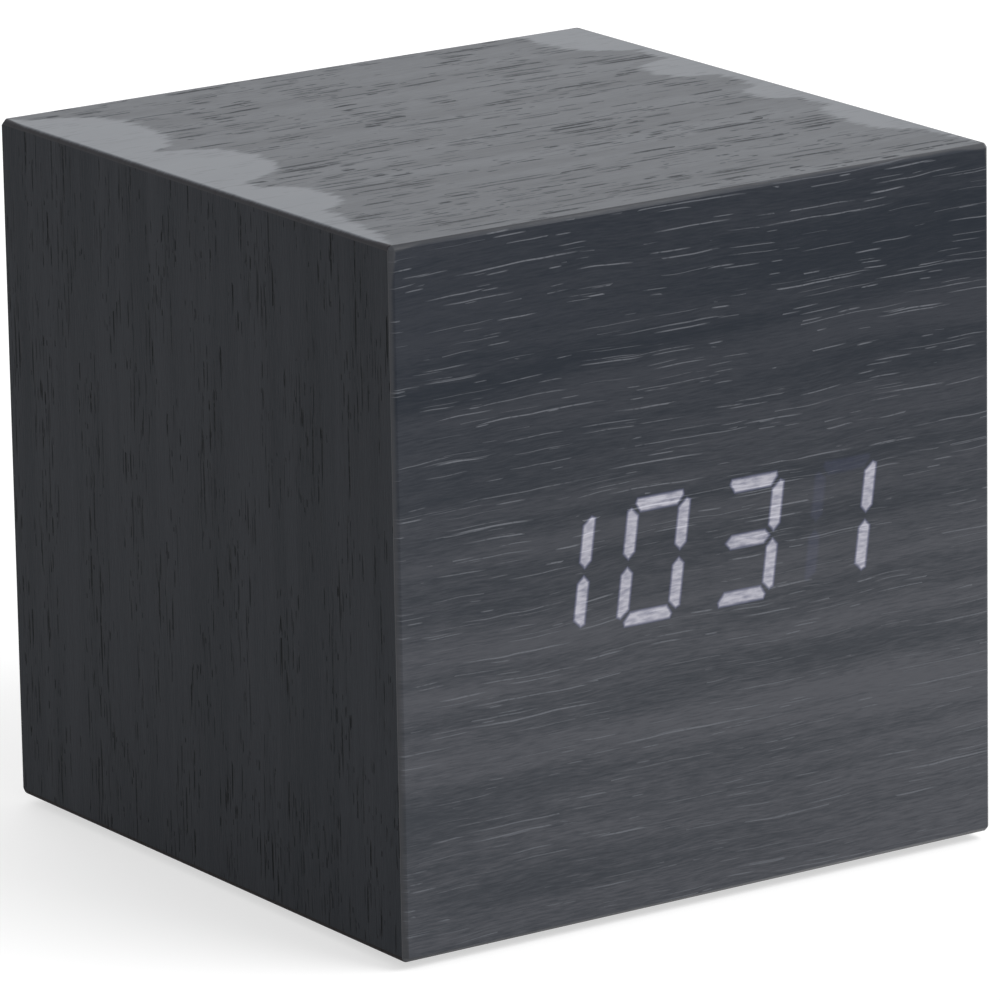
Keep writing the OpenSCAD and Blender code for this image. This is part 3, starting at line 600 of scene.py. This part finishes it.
def grow(loop, by):
    """The loop moved outwards by a distance, or inwards if that is below zero."""
    area = sum(a.cross(b) for a, b in zip(loop, loop[1:] + loop[:1]))
    turn = 1 if area > 0 else -1
    grown = []
    for before, here, after in zip(loop[-1:] + loop[:-1], loop, loop[1:] + loop[:1]):
        sides = ((here - before).normalized(), (after - here).normalized())
        outward = [turn * Vector((side.y, -side.x)) for side in sides]
        middle = (outward[0] + outward[1]).normalized()
        grown.append(here + middle * (by / max(middle.dot(outward[0]), 0.5)))
    return grown


def front_sheet():
    """The front sheet with its glow, as a mesh in the making."""
    points = [Vector(p) for p in border_ring(0.0, steps=1)[::2]]
    values, edges = [0.0] * 4, [(0, 1), (1, 2), (2, 3), (3, 0)]
    levels = [(loop, 1.0) for loop in lit_loops] + [(loop, ghost_level) for loop in ghost_loops]
    for loop, level in levels:
        for by, share in ((glow_blur, 0.0), (0.0, 0.5), (-glow_blur, 1.0)):
            start = len(points)
            points += grow(loop, by)
            count = len(loop)
            values += [share * level] * count
            edges += [(start + i, start + (i + 1) % count) for i in range(count)]
    flat, _, triangles, sources, _, _ = geometry.delaunay_2d_cdt(points, edges, [], 0, same_point)
    shape = bmesh.new()
    glow = shape.verts.layers.float.new("glow")
    front_y = front_low.y * MM
    made = []
    for spot, source in zip(flat, sources):
        vert = shape.verts.new((spot.x, front_y, spot.y))
        vert[glow] = values[source[0]] if source else 0.0
        made.append(vert)
    for triangle in triangles:
        shape.faces.new([made[i] for i in triangle])
    add_border(shape)
    rub_corners(shape)
    bmesh.ops.remove_doubles(shape, verts=shape.verts, dist=weld / 2)
    bmesh.ops.recalc_face_normals(shape, faces=shape.faces)
    return shape


def new_object(name, shape, material):
    """Turns a mesh in the making into an object of the scene."""
    mesh = bpy.data.meshes.new(name)
    shape.to_mesh(mesh)
    shape.free()
    mesh.materials.append(material)
    made = bpy.data.objects.new(name, mesh)
    bpy.context.scene.collection.objects.link(made)
    return made


def new_piece(name, shape, material, body="case"):
    """An object that rides on a body of the frame."""
    made = new_object(name, shape, material)
    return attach(made, body)


front = new_piece("front_sheet", front_sheet(), finishes["front_veneer"])
wrap_sheet(front, 1, -1)
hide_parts("front_veneer")
print(f"front sheet: {len(front.data.polygons)} faces")

# %% [markdown]
# ## Plastics
#
# The bezel, the buttons, the battery tray and its door are moulded. A mould is spark-eroded, so its parts
# have a fine even tooth, and handling polishes that tooth in places. One recipe gives all of them: a fine
# noise for the tooth, a slow one for the flow of the plastic, and scuffs that shine a little more. Rims
# wear paler, which the distance from a part's outline decides. The buttons' raised marks are printed pale,
# which their height decides.

# %% Moulded finishes
def rim_gap(f, place, node, axes, is_round):
    """How far a point lies inside the outline of a solid, seen along the third axis, in millimetres."""
    low, high = box_mm(node)
    middle, half = (low + high) / 2, (high - low) / 2
    off = [place[i] - middle[i] for i in axes]
    if is_round:
        return half[axes[0]] - f.math("SQRT", off[0] * off[0] + off[1] * off[1])
    gaps = [half[i] - f.math("ABSOLUTE", d) for i, d in zip(axes, off)]
    return f.math("MINIMUM", *gaps)


def moulded(name, code, tooth, rough, clear=0.4, depth=0.015, spread=1.7, rim=None, mark_from=None):
    """Moulded plastic, worn along its rim. What stands above mark_from on Y is printed pale."""
    f = new_finish(name)
    place = f.place()
    x, y, z = place
    spark = f.lumps(place, tooth)
    flow = f.lumps(place, 9, detail=3.0)
    scuff = f.ramp(f.noise(x / 2.5, y / 0.8, z / 2.5, detail=4.0, rough=0.7), 0.58, 0.72)
    tone = f.ramp(0.4 * flow + 0.6 * spark, 0.38, 0.62)
    colour = f.mix(tone, shade(code, 1 / spread), shade(code, spread))
    colour = f.mix(0.4 * scuff, colour, shade(code, spread * spread))
    if rim:
        worn = 1 - f.ramp(rim_gap(f, place, *rim) + 0.6 * (flow - 0.5), 0.15, 0.6)
        colour = f.mix(0.6 * worn, colour, shade(code, 4.0))
    if mark_from:
        mark = f.ramp(y + 0.03 * (spark - 0.5), mark_from, mark_from + 0.04)
        colour = f.mix(mark, colour, f.mix(spark, tint("#a9abad"), tint("#d2d3d4")))
    return f.surface({
        "Base Color": colour,
        "Roughness": rough + 0.25 * spark - 0.15 * scuff,
        "Specular IOR Level": clear,
        "Normal": f.bump(spark, depth),
    })


button_top = box_mm("set_button")[1].y
mark_height = 0.15
tray_mould = {"tooth": 0.5, "rough": 0.45, "clear": 0.35, "depth": 0.08}
vinyl = {"tooth": 1.2, "rough": 0.3, "clear": 0.5, "depth": 0.02}
finishes.update({
    "display_black": moulded("display_moulding", "#1b1b1d", tooth=0.4, rough=0.6, clear=0.3),
    "white_plastic": moulded("natural_nylon", "#cdc7b6", tooth=0.6, rough=0.4, spread=1.06),
    "plunger_white": moulded("white_nylon", "#c6c0ae", tooth=0.6, rough=0.35, spread=1.06),
    "chip_black": moulded("chip_compound", "#1a1a1c", tooth=0.15, rough=0.55, clear=0.35),
    "part_black": moulded("black_moulding", "#1a1a1b", tooth=0.3, rough=0.4),
    "bezel_black": moulded(
        "bezel_moulding", "#1e1e21", tooth=0.45, rough=0.45, clear=0.3, depth=0.08,
        rim=("control_bezel", (0, 2), False)),
    "tray_black": moulded("tray_moulding", "#1e1e20", rim=("battery_tray", (0, 1), False), **tray_mould),
    "door_black": moulded("door_moulding", "#212123", rim=("battery_door", (0, 1), False), **tray_mould),
    "foot_rubber": moulded("foot_foam", "#171718", tooth=0.5, rough=0.7, clear=0.15, depth=0.06),
    "thermistor_brown": moulded(
        "dipped_bead", "#3a2619", tooth=0.8, rough=0.15, clear=0.6, depth=0.01, spread=1.2),
    "lead_black": moulded("black_vinyl", "#1c1c1d", spread=1.3, **vinyl),
    "lead_red": moulded("red_vinyl", "#a31f1b", spread=1.15, **vinyl),
})
print(f"{len(finishes)} finishes so far, button marks stand above {button_top - mark_height:.2f} mm")

# %% [markdown]
# ## Metals
#
# Screws, pins, springs and cans are metal, and metal shows itself by what it mirrors. A plain metal colour
# would look like grey paint. Drawn lines stretch along one axis and vary the roughness, and slow stains
# vary the colour, so that each part catches the light unevenly.

# %% Metal finishes
line_length, line_width, stain_size = 4.0, 0.2, 2.2


def metal(name, code, rough, along=1):
    """Bare or plated metal with fine lines along one axis."""
    f = new_finish(name)
    place = f.place()
    drawn = [p / (line_length if i == along else line_width) for i, p in enumerate(place)]
    lines = f.noise(*drawn, detail=3.0, rough=0.6)
    stain = f.lumps(place, stain_size, detail=4.0, rough=0.6)
    return f.surface({
        "Base Color": f.mix(f.ramp(stain, 0.3, 0.7), shade(code, 0.75), shade(code, 1.1)),
        "Metallic": 1.0,
        "Roughness": rough + 0.25 * lines + 0.15 * stain - 0.15,
        "Normal": f.bump(lines, 0.006),
    })


finishes.update({
    "black_steel": metal("black_oxide_steel", "#3a3a3d", rough=0.4),
    "tinned_metal": metal("tinned_strip", "#c9c8c4", rough=0.35),
    "zinc_steel": metal("zinc_plated_steel", "#b7babd", rough=0.35),
    "can_metal": metal("drawn_can", "#c2c2c4", rough=0.3),
    "jack_pin": metal("nickel_brass", "#c8bd9a", rough=0.25),
    "spring_steel": metal("spring_wire", "#bfc1c4", rough=0.3, along=0),
})
print(f"{len(finishes)} finishes with the metals")

# %% [markdown]
# ## Boards and blocks
#
# Under the veneer the case is pressed fibreboard, the colour of cardboard. Its rear rim is left open to view,
# so the maker stains it black. The stain soaks in a little unevenly, leaves pale flecks, and is rubbed
# brown along the rim of the back opening. The glue blocks are raw softwood with growth rings.

# %% Fibreboard and softwood
stained_depth = 1.5


def fibreboard(name, stained_from):
    """Pressed fibreboard, stained black behind a place on Y and rubbed along the rim of the back opening."""
    f = new_finish(name)
    place = f.place()
    x, y, z = place
    dust = f.lumps(place, 0.4, detail=3.0, rough=0.7)
    flakes = f.noise(x / 3, y / 0.7, z / 3, detail=2.0)
    raw = f.mix(f.ramp(0.5 * dust + 0.5 * flakes, 0.3, 0.7), tint("#5c4630"), tint("#856a4b"))
    fleck = f.ramp(f.lumps(place, 0.8, detail=4.0, rough=0.75), 0.55, 0.68)
    black = f.mix(f.ramp(0.65 * dust + 0.35 * flakes, 0.34, 0.66), tint("#101114"), tint("#2c2d31"))
    black = f.mix(0.4 * fleck, black, tint("#505257"))
    panel_low, panel_high = box_mm("top_panel")
    out = f.math("MAXIMUM", f.math("ABSOLUTE", x), f.math("ABSOLUTE", z - case_mid[2]))
    from_rim = out - (panel_low.z - case_mid[2]) + panel_high.y - y
    rubbed = 1 - f.ramp(from_rim + 0.5 * (flakes - 0.5), 0.1, 0.45)
    black = f.mix(0.5 * rubbed, black, tint("#57493a"))
    stain = f.ramp(y + 1.2 * (flakes - 0.5), stained_from - 0.4, stained_from + 0.4)
    return f.surface({
        "Base Color": f.mix(stain, raw, black),
        "Roughness": 0.65 + 0.25 * dust,
        "Specular IOR Level": 0.2,
        "Normal": f.bump(dust, 0.05),
    })


def softwood(name, heart_y=10, half_ring=0.9):
    """Raw softwood sawn along Z, with growth rings round a heart far from the blocks."""
    f = new_finish(name)
    x, y, z = f.place()
    sway = f.noise(x / 8, y / 8, z / 30, detail=2.0)
    from_heart = f.math("SQRT", x * x + (y - heart_y) * (y - heart_y)) + 3 * sway
    late = f.ramp(f.math("PINGPONG", from_heart, half_ring), 0.45, 0.85)
    hairs = f.noise(x / 0.2, y / 0.2, z / 4, detail=3.0, rough=0.7)
    wood = f.mix(hairs, tint("#b98f5c"), tint("#d2ad7a"))
    return f.surface({
        "Base Color": f.mix(0.6 * late, wood, tint("#8a5d33")),
        "Roughness": 0.6 + 0.25 * hairs,
        "Specular IOR Level": 0.25,
        "Normal": f.bump(hairs - 0.4 * late, 0.05),
    })


finishes.update({
    "core_board": fibreboard("pressed_board", box_mm("back_panel")[1].y - stained_depth),
    "block_wood": softwood("raw_softwood"),
})
print(f"{len(finishes)} finishes with the boards")

# %% [markdown]
# ## Circuit boards
#
# The circuit boards are glass and resin under a green lacquer that shows the copper tracks as paler lines
# and leaves round pads bare. A drawing of the real tracks isn't needed for boards that are hidden in the
# case: lanes on the usual grid, cut short by a noise, look like them. The sawn edges show the bare board.

# %% Circuit board finish
track_pitch = 1.27
track_width = 0.4
pad_radius = 0.38


def tracks(f, across, along, seed):
    """Copper tracks that run along one way and end here and there."""
    from_lane = f.math("PINGPONG", across, track_pitch / 2)
    lane = f.math("FLOOR", across / track_pitch + 0.5)
    here = f.ramp(f.noise(lane * 3.7 + seed, along / 7, detail=0.0), 0.48, 0.5)
    return here * (1 - f.ramp(from_lane, track_width / 2, track_width / 2 + 0.06))


def circuit_board(name):
    """Green lacquer over copper, with tinned pads on a grid. The sawn edges show bare glass and resin."""
    f = new_finish(name)
    place = f.place()
    x, y, z = place
    flat = f.ramp(f.math("ABSOLUTE", f.facing("Y")), 0.5, 0.8)
    copper = f.math("MAXIMUM", tracks(f, x, z, seed=1.0), tracks(f, z, x, seed=20.0))
    pad_x = f.math("PINGPONG", x, track_pitch)
    pad_z = f.math("PINGPONG", z, track_pitch)
    pad = 1 - f.ramp(f.math("SQRT", pad_x * pad_x + pad_z * pad_z), pad_radius, pad_radius + 0.07)
    pad = pad * flat * f.ramp(f.noise(x / 4, z / 4, 9.0, detail=1.0), 0.52, 0.54)
    weave = f.lumps(place, 0.3)
    lacquer = f.mix(0.4 * weave + 0.6 * copper, tint("#0b3a20"), tint("#1f6f40"))
    sawn = f.mix(weave, tint("#56613a"), tint("#878c62"))
    return f.surface({
        "Base Color": f.mix(pad, f.mix(flat, sawn, lacquer), tint("#bdbbb2")),
        "Metallic": pad,
        "Roughness": 0.25 + 0.2 * weave,
        "Normal": f.bump(copper * flat + 0.2 * weave, 0.03),
    })


finishes["circuit_board"] = circuit_board("lacquered_board")
print(f"tracks {track_width} mm wide on a grid of {track_pitch} mm")

# %% [markdown]
# ## Display resin, sleeves and cells
#
# The display's segments are wells of milky resin, and the lit ones glow. The capacitors wear a printed sleeve
# that leaves the top of the can bare. A battery cell has a printed jacket with a band at its positive
# end and bare steel at both ends. In each of these the place on the piece or the way it faces decides the
# finish, so no piece needs cutting up.

# %% Finishes of the small parts
def resin(name, code, glow):
    """Milky resin, glowing by a share of its own colour."""
    f = new_finish(name)
    milk = f.lumps(f.place(), 1.5, detail=3.0)
    colour = f.mix(f.ramp(milk, 0.3, 0.7), shade(code, 0.85), shade(code, 1.1))
    sockets = {"Base Color": colour, "Roughness": 0.3 + 0.3 * milk, "Normal": f.bump(milk, 0.02)}
    if glow:
        sockets["Emission Color"] = colour
        sockets["Emission Strength"] = glow
    return f.surface(sockets)


def sleeved(name, code):
    """A can in a shiny sleeve, bare where it faces the back."""
    f = new_finish(name)
    x, y, z = f.place()
    bare = f.ramp(f.facing("Y"), 0.8, 0.9)
    film = f.noise(x / 1.2, y / 4, z / 1.2, detail=3.0)
    sleeve = f.mix(f.ramp(film, 0.3, 0.7), shade(code, 0.8), shade(code, 1.3))
    return f.surface({
        "Base Color": f.mix(bare, sleeve, tint("#c2c2c4")),
        "Metallic": bare,
        "Roughness": 0.2 + 0.25 * film,
        "Normal": f.bump(film, 0.02),
    })


cap_length, end_length = 1.4, 0.9
band_length = 12.0
line_from, line_to = 12.6, 13.4


def past(f, value, start):
    """0 before a place in millimetres, 1 from a tenth past it."""
    return f.ramp(value, start, start + 0.1)


def cell(name, node, side):
    """A battery cell along X whose positive end lies on side -1 or 1."""
    f = new_finish(name)
    place = f.place()
    x, y, z = place
    low, high = box_mm(node)
    from_plus = (high.x - x) if side > 0 else (x - low.x)
    length = high.x - low.x
    print_grain = f.lumps(place, 0.5)
    wear = f.ramp(f.noise(x / 6, y / 1.5, z / 1.5, detail=4.0, rough=0.7), 0.6, 0.75)
    steel = 1 - past(f, from_plus, cap_length) + past(f, from_plus, length - end_length)
    band = 1 - past(f, from_plus, band_length)
    line = past(f, from_plus, line_from) - past(f, from_plus, line_to)
    jacket = f.mix(print_grain, tint("#1e4f30"), tint("#27633c"))
    jacket = f.mix(band, jacket, f.mix(print_grain, tint("#b8923f"), tint("#cfa852")))
    jacket = f.mix(line, jacket, tint("#d8d6cd"))
    jacket = f.mix(0.4 * wear, jacket, tint("#9aa39c"))
    return f.surface({
        "Base Color": f.mix(steel, jacket, tint("#c4c5c7")),
        "Metallic": f.math("MAXIMUM", steel, 0.6 * band),
        "Roughness": 0.25 + 0.15 * print_grain + 0.2 * wear,
        "Normal": f.bump(print_grain, 0.008),
    })


finishes.update({
    "segment_lit": resin("lit_resin", "#d9d9e2", glow=1.0),
    "segment_dark": resin("milky_resin", "#9a9aa2", glow=0.0),
    "capacitor_blue": sleeved("blue_sleeve", "#23306b"),
    "cell_green": cell("cell_jacket", "cell_front", side=1),
})
print(f"{len(finishes)} finishes in all")

# %% [markdown]
# ## Dressing the rest
#
# The record of the part says which finish each solid takes. Its list is followed as it stands, with a few
# exceptions. The six sheets are dressed already. The middle cell lies the other way round. The buttons'
# worn rims lie round three middles. The wires get meshes of their own in the next steps.

# %% Give each remaining solid its finish
wires = ("contact_springs", "ribbon_cable", "battery_lead_negative", "battery_lead_positive")
buttons = ("set_button", "up_button", "down_button")
done = set(sheets) | {"front_veneer", *wires, *buttons}
for part in frame["record"]["subparts"]:
    if part["node"] not in done:
        dress(part["node"], finishes[part["material_slot"]])
dress("cell_middle", cell("turned_cell_jacket", "cell_middle", side=-1))
for node in buttons:
    finish = moulded(
        node + "_moulding", "#2b2c2f", tooth=0.4, rough=0.45, clear=0.35, depth=0.05,
        rim=(node, (0, 2), True), mark_from=button_top - mark_height / 2)
    dress(node, finish)
print(f"{len(nodes) - len(done)} more solids dressed, and {len(buttons)} buttons")

# %% [markdown]
# ## Softened edges
#
# A moulded or turned part never has a razor edge, and the thin bright line that a round edge catches is
# much of what makes it look real. The solids have plain edges. A stack of modifiers rounds them and leaves
# the solids' own meshes alone: split points are welded, flat faces are merged so that the bevel has room,
# the edges are beveled, and the normals are weighted so that flat faces stay flat.

# %% Round the edges of moulded and turned parts
merge_angle = math.radians(0.5)
sharp_angle = math.radians(35)


def soften(node, width):
    """Rounds the sharp edges of a solid by a width in millimetres."""
    rounding = {"width": width * MM, "segments": 2, "angle_limit": sharp_angle, "miter_outer": "MITER_ARC"}
    stack = (
        ("WELD", {"merge_threshold": weld}),
        ("DECIMATE", {"decimate_type": "DISSOLVE", "angle_limit": merge_angle}),
        ("BEVEL", rounding),
        ("WEIGHTED_NORMAL", {"keep_sharp": True}),
    )
    for kind, settings in stack:
        made = nodes[node].modifiers.new(kind.lower(), kind)
        for key, value in settings.items():
            setattr(made, key, value)


soft_edges = {
    0.3: ("control_bezel", "feet", "battery_door"),
    0.15: ("battery_tray", "back_screws", "power_jack", "buzzer", "display_housing"),
    0.08: ("tray_screws", "power_jack_pin", "controller_chip"),
    0.06: buttons,
}
for width, parts in soft_edges.items():
    for node in parts:
        soften(node, width)
print(f"edges softened on {sum(len(parts) for parts in soft_edges.values())} solids")

# %% [markdown]
# ## Springs, leads and ribbon
#
# Inside, three conical springs press the cells, two leads carry their current to the main board, and a flat
# ribbon joins the main board to the buttons. In the solids they are coarse sweeps. Here each is swept again
# along the same line with a finer outline: round for wire, ridged over each conductor for the ribbon. A
# moving frame keeps the outline from twisting.

# %% Sweep an outline along a line
def sweep(shape, path, outline, side=None):
    """Adds a closed sweep to a mesh in the making. The outline's points lie beside and above the path."""
    rings = []
    for i, spot in enumerate(path):
        ahead = (path[min(i + 1, len(path) - 1)] - path[max(i - 1, 0)]).normalized()
        side = side or ahead.orthogonal()
        side = (side - ahead * side.dot(ahead)).normalized()
        above = ahead.cross(side)
        rings.append([shape.verts.new((spot + side * a + above * b) * MM) for a, b in outline])
    join_rings(shape, rings)
    for end in (rings[0], rings[-1]):
        shape.faces.new(end)
    bmesh.ops.recalc_face_normals(shape, faces=shape.faces)


def ring(radius, count):
    """A round outline."""
    turns = [2 * math.pi * k / count for k in range(count)]
    return [(radius * math.cos(a), radius * math.sin(a)) for a in turns]


def bend(points, count):
    """A smooth line led by four points."""
    line = []
    for k in range(count + 1):
        t = k / count
        weights = ((1 - t) ** 3, 3 * t * (1 - t) ** 2, 3 * t * t * (1 - t), t ** 3)
        line.append(sum((w * Vector(p) for w, p in zip(weights, points)), Vector((0, 0, 0))))
    return line


print("sweeps follow a line with a round or a ridged outline")

# %% [markdown]
# ## Contact springs
#
# Each cell is pressed by a conical spring at its negative end. The middle cell lies the other way round, so
# its spring stands on the other side. The wire leaves its foot straight, winds in, and ends straight.

# %% Contact springs
spring_wire = 0.7
spring_length = 5.2
spring_turns = 3
foot_radius, head_radius = 3.2, 2.2
contact_x = 24.85
cell_pitch, cell_height = 11.0, 8.95


def spring_line(steps=72):
    """A conical spring along X with straight ends, from its wide foot to its narrow head."""
    line = [Vector((0, foot_radius, 0))]
    for k in range(steps + 1):
        t = k / steps
        a = 2 * math.pi * spring_turns * t
        r = foot_radius + (head_radius - foot_radius) * t
        along = spring_wire + (spring_length - 2 * spring_wire) * t
        line.append(Vector((along, r * math.cos(a), r * math.sin(a))))
    return line + [Vector((spring_length, head_radius, 0))]


shape = bmesh.new()
for row in (-1, 0, 1):
    turn = -1 if row == 0 else 1
    foot = Vector((-turn * contact_x, row * cell_pitch, cell_height))
    line = [foot + Vector((turn * p.x, p.y, p.z)) for p in spring_line()]
    sweep(shape, line, ring(spring_wire / 2, 12))
springs = new_piece("wound_springs", shape, finishes["spring_steel"])
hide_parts("contact_springs")
print(f"springs: {len(springs.data.polygons)} faces")

# %% [markdown]
# ## Battery leads
#
# A black and a red lead run from the outer contacts to the plug on the main board. Both ends leave their
# contact straight, because the wire is stiff there, and one smooth bend joins them.

# %% Battery leads
lead_d = 1.4
tab_height = 17.6
plug_x, plug_y, plug_height = -11.0, -22.8, 24.0
half_pin_pitch = 1.25
straight = 14.0
lead_ends = {"negative": (-1, "lead_black"), "positive": (1, "lead_red")}
for pole, (i, slot) in lead_ends.items():
    tab_x, tab_y = contact_x * i, cell_pitch * i
    pin_x = plug_x + half_pin_pitch * i
    points = (
        (tab_x, tab_y, tab_height),
        (tab_x - straight * i, tab_y, tab_height),
        (pin_x, plug_y + straight, plug_height),
        (pin_x, plug_y, plug_height),
    )
    shape = bmesh.new()
    sweep(shape, bend(points, 60), ring(lead_d / 2, 16))
    lead = new_piece("vinyl_lead_" + pole, shape, finishes[slot])
    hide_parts("battery_lead_" + pole)
print(f"{len(lead_ends)} leads")

# %% [markdown]
# ## Ribbon cable
#
# The ribbon is six wires side by side in one grey vinyl, the first of them red. A flat strip with a
# stripe pattern would do from afar. Here the outline itself has a ridge over each wire, so the light runs
# along them.

# %% Ribbon cable
ribbon_low, ribbon_high = box_mm("ribbon_cable")
ribbon_thick = 0.9
conductors = 6
front_y, front_height = -23.8, 24.0
rear_y, rear_height = 24.3, 29.0
pull = 30.0


def ridged_outline(wide, thick, count, steps=8):
    """A flat outline with a ridge over each conductor and a thin web between them."""
    upper = []
    for k in range(count * steps + 1):
        t = k / (count * steps)
        swell = abs(math.sin(math.pi * count * t))
        upper.append((wide * (t - 0.5), thick * (0.2 + 0.3 * swell ** 0.6)))
    return upper + [(a, -b) for a, b in reversed(upper)]


def ribbon_vinyl(name, red_to):
    """Grey vinyl whose first conductor is red, with the strands faintly seen as stripes."""
    f = new_finish(name)
    x, y, z = f.place()
    film = f.noise(x / 0.8, y / 5, z / 5, detail=3.0)
    grey = f.mix(f.ramp(film, 0.3, 0.7), tint("#85898f"), tint("#9ea2a7"))
    red = 1 - f.ramp(x, red_to - 0.1, red_to)
    return f.surface({
        "Base Color": f.mix(red, grey, f.mix(film, tint("#8f2f27"), tint("#b0443a"))),
        "Roughness": 0.35 + 0.2 * film,
        "Normal": f.bump(film, 0.02),
    })


ribbon_wide = ribbon_high.x - ribbon_low.x
ribbon_mid = (ribbon_low.x + ribbon_high.x) / 2
route = (
    (ribbon_mid, front_y, front_height),
    (ribbon_mid, front_y + pull, front_height),
    (ribbon_mid, rear_y - pull, rear_height),
    (ribbon_mid, rear_y, rear_height),
)
finishes["ribbon_grey"] = ribbon_vinyl("ribbon_vinyl", ribbon_low.x + ribbon_wide / conductors)
shape = bmesh.new()
sweep(shape, bend(route, 72), ridged_outline(ribbon_wide, ribbon_thick, conductors), Vector((1, 0, 0)))
ribbon = new_piece("ridged_ribbon", shape, finishes["ribbon_grey"])
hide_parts("ribbon_cable")
print(f"ribbon: {conductors} conductors, {ribbon_wide:.1f} mm wide")

# %% [markdown]
# ## Studio
#
# The floor is pale and lit so that it comes out white, with the clock's own soft shadow on it. The world
# is white to the camera and to mirror-like rays, and dimmer as a lamp, so the lamps decide how the faces
# differ. One broad lamp stands in front to the right and a weaker one behind; the left side gets only the
# room's light.

# %% Floor, world and lamps
def white_to_view(f, plain):
    """A strength of 1 for what the camera sees, directly or mirrored, and plain for other rays."""
    seen = f.node("LightPath", out=("Is Camera Ray", "Is Glossy Ray", "Is Transmission Ray"))
    mask = f.math("MAXIMUM", f.math("MAXIMUM", seen[0], seen[1]), seen[2])
    return plain + (1 - plain) * mask


def studio_world(plain):
    """A white room that lights the clock at a plain level."""
    world = bpy.data.worlds.new("studio")
    bpy.context.scene.world = world
    f = Finish(world)
    light = f.node("Background", (), {"Color": (1, 1, 1, 1), "Strength": white_to_view(f, plain)})
    f.node("OutputWorld", (), {"Surface": light})


def studio_floor(half, own_light):
    """A pale floor that takes the clock's shadow and, from below, lets the underside be seen."""
    f = new_finish("pale_floor")
    seen = white_to_view(f, 0.0)
    cover = f.node("BsdfDiffuse", (), {"Color": (0.5, 0.5, 0.5, 1)})
    lift = f.node("Emission", (), {"Color": (1, 1, 1, 1), "Strength": own_light * seen})
    both = f.node("AddShader", (), {0: cover, 1: lift})
    from_below = f.node("NewGeometry", out="Backfacing")
    see_through = f.node("BsdfTransparent")
    one_sided = f.node("MixShader", (), {0: from_below, 1: both, 2: see_through})
    f.node("OutputMaterial", (), {"Surface": one_sided})
    shape = bmesh.new()
    bmesh.ops.create_grid(shape, x_segments=8, y_segments=8, size=half)
    floor = new_object("floor", shape, f.owner)


def soft_lamp(name, place, aim, side, power, mirrored=True):
    """A broad square lamp turned towards a point. One that isn't mirrored leaves no shine on the lacquer."""
    lamp = bpy.data.lights.new(name, "AREA")
    lamp.size = side
    lamp.energy = power
    made = bpy.data.objects.new(name, lamp)
    made.location = place
    made.rotation_mode = "QUATERNION"
    made.rotation_quaternion = (Vector(aim) - Vector(place)).to_track_quat("-Z", "Y")
    made.visible_glossy = mirrored
    bpy.context.scene.collection.objects.link(made)


studio_world(plain=0.5)
studio_floor(half=3.0, own_light=0.6)
lamp_aim = (0, 0, 0.04)
soft_lamp("key_lamp", (0.9, -1.3, 1.7), lamp_aim, side=1.4, power=38.0)
soft_lamp("rear_lamp", (0.7, 1.7, 1.1), lamp_aim, side=1.4, power=16.0, mirrored=False)
print("a white room with", len(bpy.data.lights), "lamps")

# %% [markdown]
# ## Camera
#
# The camera repeats the photograph's view: from the front left and a little above, far away through a
# long lens. Its place was worked out from the seven visible corners of the cube.

# %% Camera
def aim_camera(azimuth, elevation, roll, distance, side, rise, lens):
    """A camera turned round the case's middle; side and rise move it in its own plane, in millimetres."""
    a, e, r = math.radians(azimuth), math.radians(elevation), math.radians(roll)
    back = Vector((math.sin(a) * math.cos(e), -math.cos(a) * math.cos(e), math.sin(e)))
    level = Vector((math.cos(a), math.sin(a), 0))
    upright = back.cross(level)
    right = math.cos(r) * level + math.sin(r) * upright
    up = math.cos(r) * upright - math.sin(r) * level
    spot = (Vector(case_mid) + side * right + rise * up + distance * back) * MM
    data = bpy.data.cameras.new("photo_camera")
    data.lens = lens
    data.sensor_width = 36
    camera = bpy.data.objects.new("photo_camera", data)
    turned = Matrix((right, up, back)).transposed()
    camera.matrix_world = Matrix.Translation(spot) @ turned.to_4x4()
    bpy.context.scene.collection.objects.link(camera)
    bpy.context.scene.camera = camera


aim_camera(
    azimuth=-34.093, elevation=15.094, roll=-1.005, distance=979.1, side=0.513, rise=-2.872, lens=310.5)
bpy.context.scene.view_settings.view_transform = "Standard"
print("the camera stands at", [round(c, 3) for c in bpy.context.scene.camera.matrix_world.translation])

# %% [markdown]
# ## Finish
#
# The dressed clock must stay the size of the solids.
